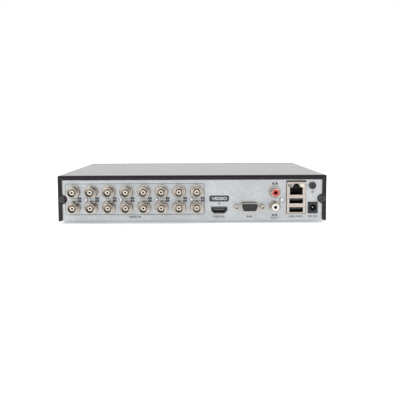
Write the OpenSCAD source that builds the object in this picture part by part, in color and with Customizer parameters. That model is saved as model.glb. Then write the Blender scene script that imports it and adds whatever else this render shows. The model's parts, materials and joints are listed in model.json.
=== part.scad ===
// Sixteen-channel video recorder in a small one-drive desktop case.
// X runs across the case, the front bezel faces -Y, the connector panel faces +Y and Z is up.
// The origin is the centre of the footprint, on the surface that the feet stand on.

/* [Case] */
// Width over the cover's sides
case_w = 260; // [254:1:320]
// Depth from the bezel's face to the cover's rear flange
case_d = 222; // [220:1:280]
// Height without the feet
case_h = 44.5; // [44:0.5:56]
// Thickness of the folded sheet steel
sheet_t = 0.8; // [0.6:0.1:1.2]
// Outside radius of a sheet bend
bend_r = 1.6; // [1.3:0.1:2.4]
// Gap between the cover and the chassis sides
fit_gap = 0.25; // [0.15:0.05:0.5]
// Gap between the rear panel and the cover's flange that laps it
lap_gap = 0.1; // [0.05:0.05:0.3]
// Height of a rubber foot below the case
foot_h = 2.5; // [1.5:0.5:6]
// Radius of a rubber foot
foot_r = 7; // [5:0.5:9]

/* [Cover flange] */
// Height of the flange along the top of the rear panel
flange_top = 4.5; // [3:0.1:5]
// Width of the flanges down the sides of the rear panel
flange_side = 4.4; // [3:0.1:5]
// Radius of the round tab that takes the cover's screw
tab_r = 4.2; // [3.8:0.1:5]
// Distance from the case's side to the tab's centre
tab_in = 4.8; // [4:0.1:6]
// Height of the tab's centre above the case's underside
tab_v = 21.4; // [16:0.1:28]
// Width of the gap where the top and side flanges meet
mitre_gap = 0.5; // [0.3:0.1:0.8]

/* [Front bezel] */
// Depth of the plastic bezel
bezel_d = 14; // [10:0.5:18]
// Wall of the plastic bezel
bezel_wall = 2; // [1.6:0.1:3]
// Height of the gloss strip across the bezel
strip_h = 12; // [8:0.5:16]
// Radius of an indicator's light pipe
pipe_r = 1; // [0.8:0.1:1.5]
// Distance between indicators
pipe_pitch = 8; // [6:0.5:12]

/* [Main board] */
// Depth of the main board, front to back
board_d = 92; // [86:1:94]
// Thickness of the circuit boards
board_t = 1.6; // [1:0.1:2]
// Height of the spacers under the main board
standoff_h = 4.8; // [4:0.2:6]
// Gap between the main board and the rear panel
board_gap = 1; // [0.6:0.1:2]
// Radius of a board screw's thread
board_screw_r = 1.45; // [1.2:0.05:1.6]

/* [Video jacks] */
// Number of jacks in a row
jack_columns = 8; // [4:2:8]
// Distance between columns
jack_pitch = 17; // [16.5:0.1:18]
// Distance between the two rows
jack_row_pitch = 15.24; // [14.8:0.01:15.6]
// Height of the lower row's axis above the board
jack_axis_h = 6.3; // [6.3:0.1:8]
// Distance from the case's side to the first column
jack_in = 15.2; // [15.2:0.1:20]
// How far a barrel stands out of the rear panel
jack_reach = 10.4; // [9:0.1:12]
// Radius of the collar at the panel
collar_r = 6.4; // [6:0.1:6.6]
// Radius of the bayonet barrel
barrel_r = 4.85; // [4.7:0.05:5]
// Radius of the barrel's bore
barrel_bore_r = 4.1; // [4:0.05:4.2]
// Radius of the insulator's nose
insulator_r = 2.3; // [2:0.1:2.6]
// Radius of the hole for a plug's centre pin
contact_bore_r = 0.7; // [0.6:0.05:0.8]

/* [Other sockets] */
// Distance from the case's side to the digital video socket
digital_in = 104; // [100:0.5:106]
// Distance from the case's side to the monitor socket
monitor_in = 74.7; // [72:0.1:76]
// Distance between the monitor socket's screw posts
post_pitch = 24.99; // [24.9:0.01:25.1]
// Distance from the case's side to the audio jacks
audio_in = 50.3; // [49:0.1:52]
// Distance between the two audio jacks
audio_pitch = 14; // [13:0.1:15]
// Radius of an audio jack's shell
audio_shell_r = 4.15; // [4:0.05:4.3]
// Radius of an audio jack's centre hole
audio_bore_r = 1.65; // [1.6:0.05:1.75]
// Distance from the case's side to the network and data sockets
network_in = 29.6; // [28.5:0.1:31]
// Width of the network and data sockets' shield
shield_w = 18.2; // [17.6:0.1:18.6]
// Height of the network and data sockets' shield
shield_h = 30.4; // [30:0.1:31]
// Distance from the case's side to the power jack
power_in = 13.3; // [13:0.1:14]
// Radius of the power jack's mouth
power_bore_r = 3.1; // [2.8:0.05:3.2]
// Radius of the power jack's centre pin
power_pin_r = 1.05; // [0.8:0.05:1.25]
// Height of the ground screw above the case's underside
ground_v = 34.1; // [30:0.1:36]

/* [Disk drive] */
// Length of the disk drive
disk_l = 147; // [146:0.1:147]
// Width of the disk drive
disk_w = 101.6; // [101:0.1:102]
// Height of the disk drive
disk_h = 26.1; // [25:0.1:26.2]
// Height of the pressed seats under the drive
seat_h = 3; // [2.6:0.1:4]
// Radius of a platter
platter_r = 47.5; // [46:0.1:47.5]

/* [Fan] */
// Side of the fan's square frame
fan_w = 40; // [38:1:40]
// Thickness of the fan
fan_t = 10; // [10:1:12]
// Distance between the fan's screws
fan_pitch = 32; // [31:0.5:32]
// Number of blades
fan_blades = 7; // [5:1:9]

/* [Hidden] */
$fn = 48;
eps = 0.02;                                     // overlap that joins stacked shapes
seat = 0.02;                                    // gap under a piece that rests on another
running = 0.05;                                 // radial clearance of a shaft or screw in its hole
shade_steel = "silver";
shade_black = [0.16, 0.16, 0.17];
shade_nickel = [0.78, 0.74, 0.68];
shade_board = [0.05, 0.32, 0.16];
shade_gold = "goldenrod";

foot_round = flange_side / 2;                   // rounds the foot of each side flange
cover_gap = 0.2;                                // between the cover and the bezel, and under its sides
cover_screw_r = 1.45;
vent_w = 2.6;                                   // the slots beside the fan
vent_l = 26;
vent_pitch = 4.6;
flange_reach = sheet_t + lap_gap;              // from the rear panel's face to the cover's rear face
overall_d = case_d + jack_reach - flange_reach;
front_y = -overall_d / 2;                      // the bezel's face
rear_y = front_y + case_d;                     // the cover's rear face
panel_y = rear_y - flange_reach;               // the rear panel's outer face
wall_y = front_y + bezel_d;                    // the front wall's outer face
chassis_w = case_w - 2 * (sheet_t + fit_gap);
chassis_d = panel_y - wall_y;
chassis_h = case_h - sheet_t - 0.6;            // the walls stop just under the cover
floor_z = foot_h + sheet_t;                    // top of the chassis floor
board_top = sheet_t + standoff_h + board_t;    // the main board's top above the case's underside
board_y1 = panel_y - sheet_t - board_gap;
board_y0 = board_y1 - board_d;
board_w = chassis_w - 2 * sheet_t - 8;          // 4 mm clear of each side wall
jack_v = [board_top + jack_axis_h, board_top + jack_axis_h + jack_row_pitch];
jack_u0 = jack_in - case_w / 2;
digital_u = case_w / 2 - digital_in;
monitor_u = case_w / 2 - monitor_in;
audio_u = case_w / 2 - audio_in;
network_u = case_w / 2 - network_in;
power_u = case_w / 2 - power_in;
ground_u = power_u - 0.6;
monitor_v = board_top + 6.3;
monitor_w = 15.8;                               // inside the monitor socket's D shell
monitor_h = 7.2;
monitor_round = 1.8;
post_r = 1.42;                                  // thread of a screw post, inside and out
post_gap = 0.4;                                 // round a post where it passes through
digital_w = 14.2;                               // inside the digital video socket's shell
digital_h = 5;
digital_v = board_top + 3.3;
audio_v = board_top + 6.6;
audio_collar_r = 5.3;
audio_core_r = 3.4;                             // an audio jack's coloured insulator
audio_reach = 8.5;
audio_screw_r = 1.4;
audio_screw_u = audio_u + 7;
audio_screw_v = audio_v + 0.45 * audio_pitch;
power_v = board_top + 5.5;
power_w = 9.3;                                  // the power jack's moulded body
power_h = 10.9;
ground_screw_r = 1.9;
shield_front = 1.3;                             // how far the network socket's shield stands out
shield_d = 25;
shield_t = 0.4;
contact_back = -0.8;                            // the ring contact behind an audio jack's centre hole
contact_l = 1.9;
contact_r = 2;
// Network opening and the two data openings: [centre, height] above the board
lan_h = [23.4, 11];
data_h = [[12.1, 5], [3.5, 5]];
data_w = 13.2;
lan_w = 12.4;
jack_screw_u = -4.9;                            // from each even column
jack_screw_r = 1.2;
jack_screw_v = jack_v[0] + jack_row_pitch / 2;
panel_gap = 0.15;                               // round what passes through the rear panel
collar_l = 2.5;                                 // how far a jack's collar stands out of the panel
lug_r = 1;                                      // bayonet lugs, and how far they sit behind the mouth
lug_back = 4.6;
base_r = 3.1;                                   // the insulator's wide base
base_l = 3.5;
bore_floor = 1.5;                               // floor of a barrel's bore, from the panel
nose_z = jack_reach - 1.5;                      // where the insulator's nose starts to round off
housing_w = 15.6;                               // a video jack's moulded housing
housing_d = 21;
stem_r = 4.85;                                  // the part of a barrel inside its housing
collar_back = 0.15 - sheet_t - board_gap;       // clear of the board's rear edge
battery_xy = [100, 12.5];                       // on the board, from its front left corner
chip_xy = [104, 42];                            // the processor, under its heat sink
lip_in = 8;                                     // the rear panel's top lip, in from the sides
lip_d = 7;
floor_vents = 8;
floor_vent_pitch = 7;
floor_vent_w = 3;
floor_vent_l = 46;
foot_stem_r = 2;
disk_seat_r = 6.5;
disk_screw_r = 1.65;
small_screw_r = 1.1;                            // screws of the drive's lid and board
disk_x0 = 17 - chassis_w / 2;
disk_y0 = wall_y + sheet_t + 4;
disk_z0 = floor_z + seat_h;
disk_screw_x = [disk_l - 85.73, disk_l - 41.28];
disk_screw_y = [(disk_w - 95.25) / 2, (disk_w + 95.25) / 2];
spindle = [disk_x0 + 51, disk_y0 + disk_w / 2];
pivot = [spindle[0] + 58, spindle[1] - 22];
cavity_z = disk_z0 + 7;
disk_board_z = 0.6;                             // the drive's board is set into its underside
disk_board_xy = [for (x = [36, disk_l - 14], y = [15, disk_w - 15]) [disk_x0 + x, disk_y0 + y]];
disk_lid_xy = [for (x = [4, disk_l / 2 + 20, disk_l - 4], y = [4, disk_w - 4]) [disk_x0 + x, disk_y0 + y]];
park_angle = 107;
fan_x1 = chassis_w / 2 - sheet_t - 0.1;
fan_y = wall_y + 57;
fan_z = floor_z + 0.6 + fan_w / 2;
lamp_x = [for (i = [0:2]) case_w / 2 - 30 - i * pipe_pitch];
lamp_v = case_h / 2;
lamp_gap = 3;                                   // from the front wall to the indicator board
lamp_screw = 15;                                // each side of the middle indicator
strip_w = case_w - 24;
tab_x = [-0.3 * case_w, 0.3 * case_w];          // the bezel's snap tabs
tab_edge = 6.5;
snap_w = 8;
snap_t = 1.6;
standoff_xy = concat(
    [for (x = [-board_w / 2 + 5, 8, board_w / 2 - 5]) [x, board_y0 + 5]],
    [for (x = [digital_in - case_w / 2 + 12, board_w / 2 - 41]) [x, board_y1 - 30]]);
plug_back = 6;                                  // a plug's mating end, behind the board's front edge
wire_v = foot_h + board_top + 3.1;
data_from = [disk_x0 + disk_l + 9, disk_y0 + 62, disk_z0 + 3];
data_to = [56, board_y0 + 1, wire_v + 0.4];
power_from = [disk_x0 + disk_l + 9, disk_y0 + 43, disk_z0 + 3];
power_to = [74, board_y0 + 1, wire_v + 0.4];
fan_to = [case_w / 2 - 24, board_y0 + 2, wire_v];
lamp_to = [case_w / 2 - 39, board_y0 + 2, wire_v];
lamp_board_y = wall_y + sheet_t + lamp_gap + board_t;  // the indicator board's back
foot_xy = [for (x = [-1, 1], y = [wall_y + 20, panel_y - 30]) [x * (case_w / 2 - 22), y]];

// ---------- helpers ----------

// Points of an arc
function arc(cx, cy, r, from, to, n = 6) =
    [for (i = [0:n]) let (a = from + (to - from) * i / n) [cx + r * cos(a), cy + r * sin(a)]];

// Rectangle about the origin with four round corners
function round_rect(w, h, r) = concat(
    arc(w / 2 - r, h / 2 - r, r, 0, 90), arc(r - w / 2, h / 2 - r, r, 90, 180),
    arc(r - w / 2, r - h / 2, r, 180, 270), arc(w / 2 - r, r - h / 2, r, 270, 360));

// Rectangle on the X axis whose two bottom corners are round
function tray_outline(w, h, r) = concat(
    [[w / 2, h], [-w / 2, h]], arc(r - w / 2, r, r, 180, 270), arc(w / 2 - r, r, r, 270, 360));

// Rectangle hung from the X axis whose two top corners are round
function lid_outline(w, h, r) = [for (p = tray_outline(w, h, r)) [p[0], -p[1]]];

// Places children on the rear panel's outer face: u to the right as seen from behind,
// v up from the case's underside, and +Z out of the panel
module at_rear(u, v) translate([-u, panel_y, foot_h + v]) rotate([90, 0, 180]) children();

// Extrudes a YZ outline along X, centred
module along_x(w) translate([-w / 2, 0, 0]) rotate([90, 0, 90]) linear_extrude(w) children();

// Extrudes an XZ outline along -Y
module along_y(d) rotate([90, 0, 0]) linear_extrude(d) children();

// Upright bar with round ends, through a plate in the XY plane
module slot(w, l, t) {
    translate([-w / 2, -(l - w) / 2, 0]) cube([w, l - w, t]);
    for (s = [-1, 1]) translate([0, s * (l - w) / 2, 0]) cylinder(r = w / 2, h = t);
}

// Pan-head screw with a cross recess: the head stands on z = 0 and the thread hangs below it
module pan_screw(head_r, head_h, thread_r, thread_l) {
    difference() {
        union() {
            cylinder(r = head_r, h = head_h * 0.55);
            translate([0, 0, head_h * 0.55])
                cylinder(r1 = head_r, r2 = head_r * 0.72, h = head_h * 0.45);
        }
        for (a = [0, 90]) rotate(a) translate([-head_r * 0.55, -head_r * 0.12, head_h * 0.45])
            cube([head_r * 1.1, head_r * 0.24, head_h]);
    }
    translate([0, 0, -thread_l]) cylinder(r = thread_r, h = thread_l);
}

// Direction and pull of the line at point i: no longer than the shorter span beside it, so the line
// never doubles back where a long span meets a short one
function pull(p, i) = let (
    last = len(p) - 1,
    before = norm(p[max(i, 1)] - p[max(i, 1) - 1]),
    after = norm(p[min(i, last - 1) + 1] - p[min(i, last - 1)]))
    min(before, after) * unit(p[min(i + 1, last)] - p[max(i - 1, 0)]);

// Smooth line through hand-chosen points, with n steps between each pair
function curve(p, n) = concat(
    [for (i = [0:len(p) - 2], k = [0:n - 1]) let (t = k / n)
        p[i] * (2 * pow(t, 3) - 3 * t * t + 1) + pull(p, i) * (pow(t, 3) - 2 * t * t + t)
        + p[i + 1] * (3 * t * t - 2 * pow(t, 3)) + pull(p, i + 1) * (pow(t, 3) - t * t)],
    [p[len(p) - 1]]);

function unit(v) = v / norm(v);

// Round lead of one radius along a line; side is any direction the line never runs in
module lead(p, r, side, n = 8) {
    last = len(p) - 1;
    rings = [for (i = [0:last]) let (
        t = unit(p[min(i + 1, last)] - p[max(i - 1, 0)]), a = unit(cross(t, side)), b = cross(t, a))
        [for (k = [0:n - 1]) p[i] + r * (a * cos(360 * k / n) + b * sin(360 * k / n))]];
    polyhedron(
        [for (ring = rings, q = ring) q],
        concat(
            [[for (k = [0:n - 1]) k]],
            [for (i = [0:last - 1], k = [0:n - 1]) let (m = (k + 1) % n)
                [i * n + k, (i + 1) * n + k, (i + 1) * n + m, i * n + m]],
            [[for (k = [n - 1:-1:0]) last * n + k]]));
}

// ---------- case ----------

// Block with the cover's outside shape, or its inside when shrunk by inset
module cover_block(inset) {
    r = bend_r - inset;
    w = case_w - 2 * inset;
    top = foot_h + case_h - inset;
    open = inset > 0 ? 1 : 0;  // runs the hollow out through the open sides
    y0 = wall_y + cover_gap - open;
    d = rear_y - inset - y0;
    drop = case_h - cover_gap + open - inset;
    intersection() {
        translate([0, rear_y - inset, top]) along_y(d) polygon(lid_outline(w, drop, r));
        translate([0, y0, top]) along_x(w)
            polygon(concat([[0, 0], [0, -drop], [d, -drop]], arc(d - r, -r, r, 0, 90)));
        translate([0, y0, top - drop]) linear_extrude(drop)
            polygon(concat([[w / 2, 0]], arc(w / 2 - r, d - r, r, 0, 90),
                           arc(r - w / 2, d - r, r, 90, 180), [[-w / 2, 0]]));
    }
}

// Opening in the cover's rear flanges, seen from behind, before the screw tabs
module flange_window() {
    e = case_w / 2 - flange_side;
    difference() {
        translate([-e, -2]) square([2 * e, case_h - flange_top + 2]);
        for (s = [-1, 1]) translate([s * (case_w / 2 - tab_in), tab_v]) screw_tab(s);
    }
    for (s = [0, 1]) mirror([s, 0]) polygon(concat(
        [[e - 1, -1], [e + foot_round, -1]],
        arc(e + foot_round, foot_round + cover_gap, foot_round, 270, 180),
        [[e - 1, foot_round + cover_gap]]));
}

// Round tab with a concave blend into the side flange; s is the side it grows from
module screw_tab(s) {
    blend_r = 1.5;
    edge = tab_in - flange_side;
    cx = edge - blend_r;
    cy = sqrt(pow(tab_r + blend_r, 2) - cx * cx);
    mirror([s < 0 ? 1 : 0, 0]) {
        circle(r = tab_r);
        difference() {
            polygon([[0, 0], [cx, cy], [edge + 1, cy], [edge + 1, -cy], [cx, -cy]]);
            for (k = [-1, 1]) translate([cx, k * cy]) circle(r = blend_r);
        }
    }
}

// A row of vents beside the fan, cut through a side that starts at x
module side_vents(x, count = 9) for (i = [0:count - 1])
    translate([x, fan_y + (i - (count - 1) / 2) * vent_pitch, fan_z]) rotate([0, 90, 0]) rotate(90)
        slot(vent_w, vent_l, 4);

module top_cover() color(shade_black) difference() {
    cover_block(0);
    cover_block(sheet_t);
    at_rear(0, 0) translate([0, 0, lap_gap - 1]) linear_extrude(4) flange_window();
    for (s = [-1, 1]) {
        at_rear(s * (case_w / 2 - tab_in), tab_v) cylinder(r = cover_screw_r + 0.25, h = 4);
        // mitre gap from the window's corner almost to the case's corner
        at_rear(s * (case_w / 2 - flange_side), case_h - flange_top)
            rotate(s > 0 ? -45 : 45) translate([-mitre_gap / 2, -0.6, lap_gap - 1])
            cube([mitre_gap, flange_top * sqrt(2) - 0.5, 4]);
    }
    side_vents(case_w / 2 - 3);
    side_vents(-case_w / 2 - 1);
}

module cover_screws() color(shade_black) for (s = [-1, 1])
    at_rear(s * (case_w / 2 - tab_in), tab_v) translate([0, 0, flange_reach + seat])
        pan_screw(3.3, 1.9, cover_screw_r, 5.5);

module chassis_block(inset) {
    r = bend_r - inset;
    w = chassis_w - 2 * inset;
    d = chassis_d - 2 * inset;
    h = chassis_h - inset + (inset > 0 ? 1 : 0);
    intersection() {
        translate([0, panel_y - inset, foot_h + inset]) along_y(d) polygon(tray_outline(w, h, r));
        translate([0, (wall_y + panel_y) / 2, foot_h + inset]) along_x(w)
            polygon(tray_outline(d, h, r));
        translate([0, (wall_y + panel_y) / 2, foot_h + inset]) linear_extrude(h)
            polygon(round_rect(w, d, r));
    }
}

// Outline of the monitor socket's D shell, wide side up, w wide at the top
module d_outline(w, h, r) {
    slope = h * tan(10);
    polygon(concat(arc(w / 2 - r, h / 2 - r, r, -10, 90), arc(r - w / 2, h / 2 - r, r, 90, 190),
                   arc(r - w / 2 + slope, r - h / 2, r, 190, 270),
                   arc(w / 2 - r - slope, r - h / 2, r, 270, 350)));
}

// Outline of the digital video socket, w wide at the top and narrower below
module digital_outline(w, h) polygon([
    [-w / 2, h / 2], [w / 2, h / 2], [w / 2, -h * 0.1], [w / 2 - h * 0.16, -h * 0.24],
    [w / 2 - h * 0.42, -h / 2], [h * 0.42 - w / 2, -h / 2], [h * 0.16 - w / 2, -h * 0.24],
    [-w / 2, -h * 0.1]]);

// Everything cut through the rear panel
module rear_cuts() {
    deep = sheet_t + 2;
    module cut(u, v) at_rear(u, v) translate([0, 0, 1 - deep]) children();
    for (i = [0:jack_columns - 1], v = jack_v)
        cut(jack_u0 + i * jack_pitch, v) cylinder(r = collar_r + panel_gap, h = deep);
    for (i = [1:2:jack_columns - 1])
        cut(jack_u0 + i * jack_pitch + jack_screw_u, jack_screw_v)
            cylinder(r = jack_screw_r + panel_gap, h = deep);
    cut(digital_u, digital_v) linear_extrude(deep) digital_outline(digital_w + 1.8, digital_h + 1.9);
    cut(monitor_u, monitor_v) linear_extrude(deep)
        d_outline(monitor_w + 1.8, monitor_h + 1.8, monitor_round + 0.6);
    for (s = [-1, 1]) cut(monitor_u + s * post_pitch / 2, monitor_v)
        cylinder(r = post_r + post_gap, h = deep);
    for (k = [0, 1]) cut(audio_u, audio_v + k * audio_pitch)
        cylinder(r = audio_collar_r + panel_gap, h = deep);
    cut(audio_screw_u, audio_screw_v) cylinder(r = audio_screw_r + 0.1, h = deep);
    cut(network_u, board_top + shield_h / 2 + 0.5)
        linear_extrude(deep) square([shield_w + 1, shield_h + 2], center = true);
    cut(power_u, power_v - 0.1) linear_extrude(deep) square([power_w + 0.4, power_h + 0.5], center = true);
    cut(ground_u, ground_v) cylinder(r = ground_screw_r + 0.1, h = deep);
    for (s = [-1, 1])
        cut(s * (case_w / 2 - tab_in), tab_v) cylinder(r = cover_screw_r + running, h = deep);
}

module disk_seats(r, z, h) for (x = disk_screw_x, y = disk_screw_y)
    translate([disk_x0 + x, disk_y0 + y, z]) cylinder(r = r, h = h);

module chassis() color(shade_steel) difference() {
    union() {
        difference() {
            chassis_block(0);
            chassis_block(sheet_t);
        }
        // lip along the top of the rear panel
        translate([lip_in - chassis_w / 2, panel_y - lip_d, foot_h + chassis_h - sheet_t])
            cube([chassis_w - 2 * lip_in, lip_d - sheet_t / 2, sheet_t]);
        disk_seats(disk_seat_r, foot_h + sheet_t / 2, seat_h + sheet_t / 2);
    }
    rear_cuts();
    disk_seats(disk_seat_r - sheet_t, foot_h - 1, seat_h + 1);
    disk_seats(disk_screw_r + 0.3, foot_h, seat_h + 2);
    for (p = foot_xy) translate([p[0], p[1], foot_h - 1]) cylinder(r = foot_stem_r + 0.2, h = 3);
    for (p = standoff_xy) translate([p[0], p[1], foot_h - 1]) cylinder(r = board_screw_r + panel_gap, h = 3);
    // floor vents under the drive and beside it
    for (i = [0:floor_vents - 1])
        translate([disk_x0 + 20 + i * floor_vent_pitch, disk_y0 + disk_w / 2, foot_h - 1])
            slot(floor_vent_w, floor_vent_l, 3);
    // fan grille, its screw holes, and the vents in the other side
    side_vents(chassis_w / 2 - 2, 7);
    for (y = [-1, 1], z = [-1, 1])
        translate([chassis_w / 2 - 2, fan_y + y * fan_pitch / 2, fan_z + z * fan_pitch / 2])
            rotate([0, 90, 0]) cylinder(r = board_screw_r + running, h = 4);
    side_vents(-chassis_w / 2 - 2);
    // front wall: indicators, their board's screws, and the bezel's snap tabs
    for (x = lamp_x) translate([x, wall_y + 2, foot_h + lamp_v]) rotate([90, 0, 0])
        cylinder(r = 1.75, h = 4);
    for (s = [-1, 1]) translate([lamp_x[1] + s * lamp_screw, wall_y + 2, foot_h + lamp_v])
        rotate([90, 0, 0]) cylinder(r = board_screw_r + running, h = 4);
    bezel_tabs(0.3, 3);
}

module rubber_feet() color(shade_black) for (p = foot_xy) translate([p[0], p[1], 0]) {
    cylinder(r1 = foot_r - 0.6, r2 = foot_r, h = 0.8);
    translate([0, 0, 0.8]) cylinder(r = foot_r, h = foot_h - 0.8 - eps);
    translate([0, 0, foot_h - 0.5]) cylinder(r = foot_stem_r, h = sheet_t + 0.6);
    translate([0, 0, foot_h + sheet_t + running]) cylinder(r1 = foot_stem_r + 0.8, r2 = foot_stem_r, h = 1);
}

// ---------- front bezel and indicators ----------

// The four snap tabs behind the bezel, grown by gap to make their slots
module bezel_tabs(gap, long) for (x = tab_x, v = [tab_edge, case_h - tab_edge])
    translate([x - snap_w / 2 - gap, wall_y - 1, foot_h + v - snap_t / 2 - gap])
        cube([snap_w + 2 * gap, 1 + long, snap_t + 2 * gap]);

module bezel_block(inset, back) {
    r = 3 - inset;
    w = case_w - 2 * inset;
    h = case_h - 2 * inset;
    d = bezel_d - inset + back;
    intersection() {
        translate([0, wall_y + back, foot_h + inset]) along_y(d)
            translate([0, h / 2]) polygon(round_rect(w, h, 1.6));
        translate([0, front_y + inset, foot_h + inset]) along_x(w)
            polygon(concat([[d, 0], [d, h]], arc(r, h - r, r, 90, 180), arc(r, r, r, 180, 270)));
        translate([0, front_y + inset, foot_h + inset]) linear_extrude(h)
            polygon(concat([[w / 2, d], [-w / 2, d]], arc(r - w / 2, r, r, 180, 270),
                           arc(w / 2 - r, r, r, 270, 360)));
    }
}

module front_bezel() color(shade_black) {
    difference() {
        bezel_block(0, 0);
        bezel_block(bezel_wall, 1);
        // recess for the gloss strip
        translate([0, front_y + 1, foot_h + lamp_v]) rotate([90, 0, 0])
            linear_extrude(3) polygon(round_rect(strip_w, strip_h, 1));
        for (x = lamp_x) translate([x, front_y + 5, foot_h + lamp_v]) rotate([90, 0, 0])
            cylinder(r = pipe_r + 0.1, h = 6);
        // groove below the strip
        translate([0, front_y + 0.6, foot_h + 8]) rotate([90, 0, 0])
            linear_extrude(3) square([strip_w, 0.8], center = true);
    }
    // snap tabs, each with a barb behind the front wall
    translate([0, -2, 0]) bezel_tabs(0, 4.4);
    for (x = tab_x, v = [tab_edge, case_h - tab_edge])
        translate([x - snap_w / 2, wall_y + sheet_t + 0.1, foot_h + v - 1.4]) cube([snap_w, 1.2, 1.4]);
    // webs that carry the tabs inside the shell
    for (x = tab_x, v = [0.5, case_h - tab_edge - snap_t / 2])
        translate([x - snap_w / 2, front_y + 1, foot_h + v])
            cube([snap_w, bezel_d - 1.1, tab_edge + snap_t / 2 - 0.5]);
}

module bezel_strip() color([0.08, 0.08, 0.09]) difference() {
    translate([0, front_y + 0.95, foot_h + lamp_v]) rotate([90, 0, 0])
        linear_extrude(0.85) polygon(round_rect(strip_w - 0.3, strip_h - 0.3, 0.9));
    for (x = lamp_x) translate([x, front_y + 5, foot_h + lamp_v]) rotate([90, 0, 0])
        cylinder(r = pipe_r + 0.1, h = 6);
}

module light_pipes() color("white", 0.6) for (x = lamp_x)
    translate([x, wall_y - 0.3, foot_h + lamp_v]) rotate([90, 0, 0]) {
        cylinder(r = pipe_r, h = bezel_d - 0.3);
        translate([0, 0, bezel_d - bezel_wall - 1.5 - 0.35]) cylinder(r = pipe_r + 0.9, h = 1.5);
    }

module indicator_board() color(shade_board)
    translate([lamp_x[1], wall_y + sheet_t + lamp_gap, foot_h + lamp_v]) rotate([-90, 0, 0]) difference() {
        translate([-19, -7, 0]) cube([38, 14, board_t]);
        for (s = [-1, 1]) translate([s * lamp_screw, 0, -1])
            cylinder(r = board_screw_r + panel_gap, h = 4);
    }

module indicator_lamps() color("honeydew") for (x = lamp_x)
    translate([x, wall_y + sheet_t + lamp_gap - seat, foot_h + lamp_v]) rotate([90, 0, 0]) {
        cylinder(r = 1.9, h = 0.8);
        cylinder(r = 1.5, h = 2.9);
        translate([0, 0, 2.9]) cylinder(r1 = 1.5, r2 = 0.9, h = 0.7);
    }

// ---------- main board ----------

module main_board() color(shade_board) difference() {
    translate([-board_w / 2, board_y0, floor_z + standoff_h]) cube([board_w, board_d, board_t]);
    for (p = standoff_xy) translate([p[0], p[1], floor_z]) cylinder(r = board_screw_r + panel_gap, h = 10);
}

module board_standoffs() color("silver") {
    for (p = standoff_xy) translate([p[0], p[1], floor_z + seat]) difference() {
        cylinder(r = 2.9, h = standoff_h - 2 * seat, $fn = 6);
        translate([0, 0, 1]) cylinder(r = board_screw_r + running, h = 8);
    }
    for (s = [-1, 1])
        translate([lamp_x[1] + s * lamp_screw, wall_y + sheet_t + lamp_gap - seat, foot_h + lamp_v])
            rotate([90, 0, 0]) difference() {
            cylinder(r = 2.6, h = lamp_gap - 2 * seat);
            translate([0, 0, -1]) cylinder(r = board_screw_r + running, h = 6);
        }
}

module board_screws() color("silver") {
    for (p = standoff_xy) translate([p[0], p[1], floor_z + standoff_h + board_t + seat])
        pan_screw(2.8, 1.8, board_screw_r, 4.8);
    for (s = [-1, 1])
        translate([lamp_x[1] + s * lamp_screw, wall_y + sheet_t + lamp_gap + board_t + seat, foot_h + lamp_v])
            rotate([-90, 0, 0]) pan_screw(2.4, 1.6, board_screw_r, 4.5);
}

// Places children on the main board: x and y from its front left corner, seen from the front
module on_board(x, y) translate([x - board_w / 2, board_y0 + y, foot_h + board_top + seat]) children();

module chip(w, d, h) translate([-w / 2, -d / 2, 0]) cube([w, d, h]);

// Packed circuit: body and, when legs is set, its rows of flat legs
module flat_pack(w, d, h, legs) {
    chip(w, d, h);
    if (legs) {
        chip(w + 2, d * 0.86, 0.3);
        chip(w * 0.86, d + 2, 0.3);
    }
}

module processor() color(shade_black) on_board(chip_xy[0], chip_xy[1]) chip(21, 21, 1.8);

module heatsink() color([0.55, 0.56, 0.58]) on_board(chip_xy[0], chip_xy[1])
    translate([0, 0, 1.8 + seat]) {
    chip(34, 34, 2.5);
    for (i = [0:9]) translate([-17 + i * 3.6, -17, 2]) cube([1.6, 34, 9.5]);
}

module memory_chips() color(shade_black)
    for (x = [-30, 30], y = [-6, 8]) on_board(chip_xy[0] + x, chip_xy[1] + y) flat_pack(9, 11, 1.1, false);

module video_chips() color(shade_black) {
    for (i = [0:3]) on_board(board_w - 24 - i * 34, 58) flat_pack(12, 12, 1.3, true);
    on_board(52, 30) flat_pack(8, 6, 1.4, true);
    on_board(46, 62) flat_pack(10, 10, 1.2, true);
    // transformer of the network socket
    on_board(30, 56) flat_pack(16, 10, 5.5, true);
}

module capacitors() color([0.75, 0.76, 0.78])
    for (p = [[16, 44], [16, 34], [28, 20], [150, 20], [160, 20], [186, 34]]) on_board(p[0], p[1]) {
        color("black") chip(7, 7, 1);
        translate([0, 0, 1 - eps]) cylinder(r = 3.15, h = 6.7);
    }

module power_coils() color([0.25, 0.25, 0.26])
    for (p = [[28, 34], [40, 20], [174, 20]]) on_board(p[0], p[1]) {
        chip(7.4, 7.4, 3.2);
        translate([0, 0, 3]) cylinder(r = 3.2, h = 0.6);
    }

module battery_holder() color(shade_black) on_board(battery_xy[0], battery_xy[1]) difference() {
    cylinder(r = 12, h = 3.4);
    translate([0, 0, 1]) cylinder(r = 10.15, h = 4);
    translate([-3, -14, 1]) cube([6, 8, 4]);
}

module coin_cell() color("gainsboro") on_board(battery_xy[0], battery_xy[1]) translate([0, 0, 1 + seat]) {
    cylinder(r = 10, h = 2.7);
    translate([0, 0, 2.7 - eps]) cylinder(r1 = 9.6, r2 = 9.2, h = 0.5);
}

module buzzer() color(shade_black) on_board(224, 34) difference() {
    cylinder(r = 6, h = 7);
    translate([0, 0, 4]) cylinder(r = 1, h = 5);
}

// ---------- video jacks ----------

module each_jack() for (i = [0:jack_columns - 1], v = jack_v)
    at_rear(jack_u0 + i * jack_pitch, v) children();

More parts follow.
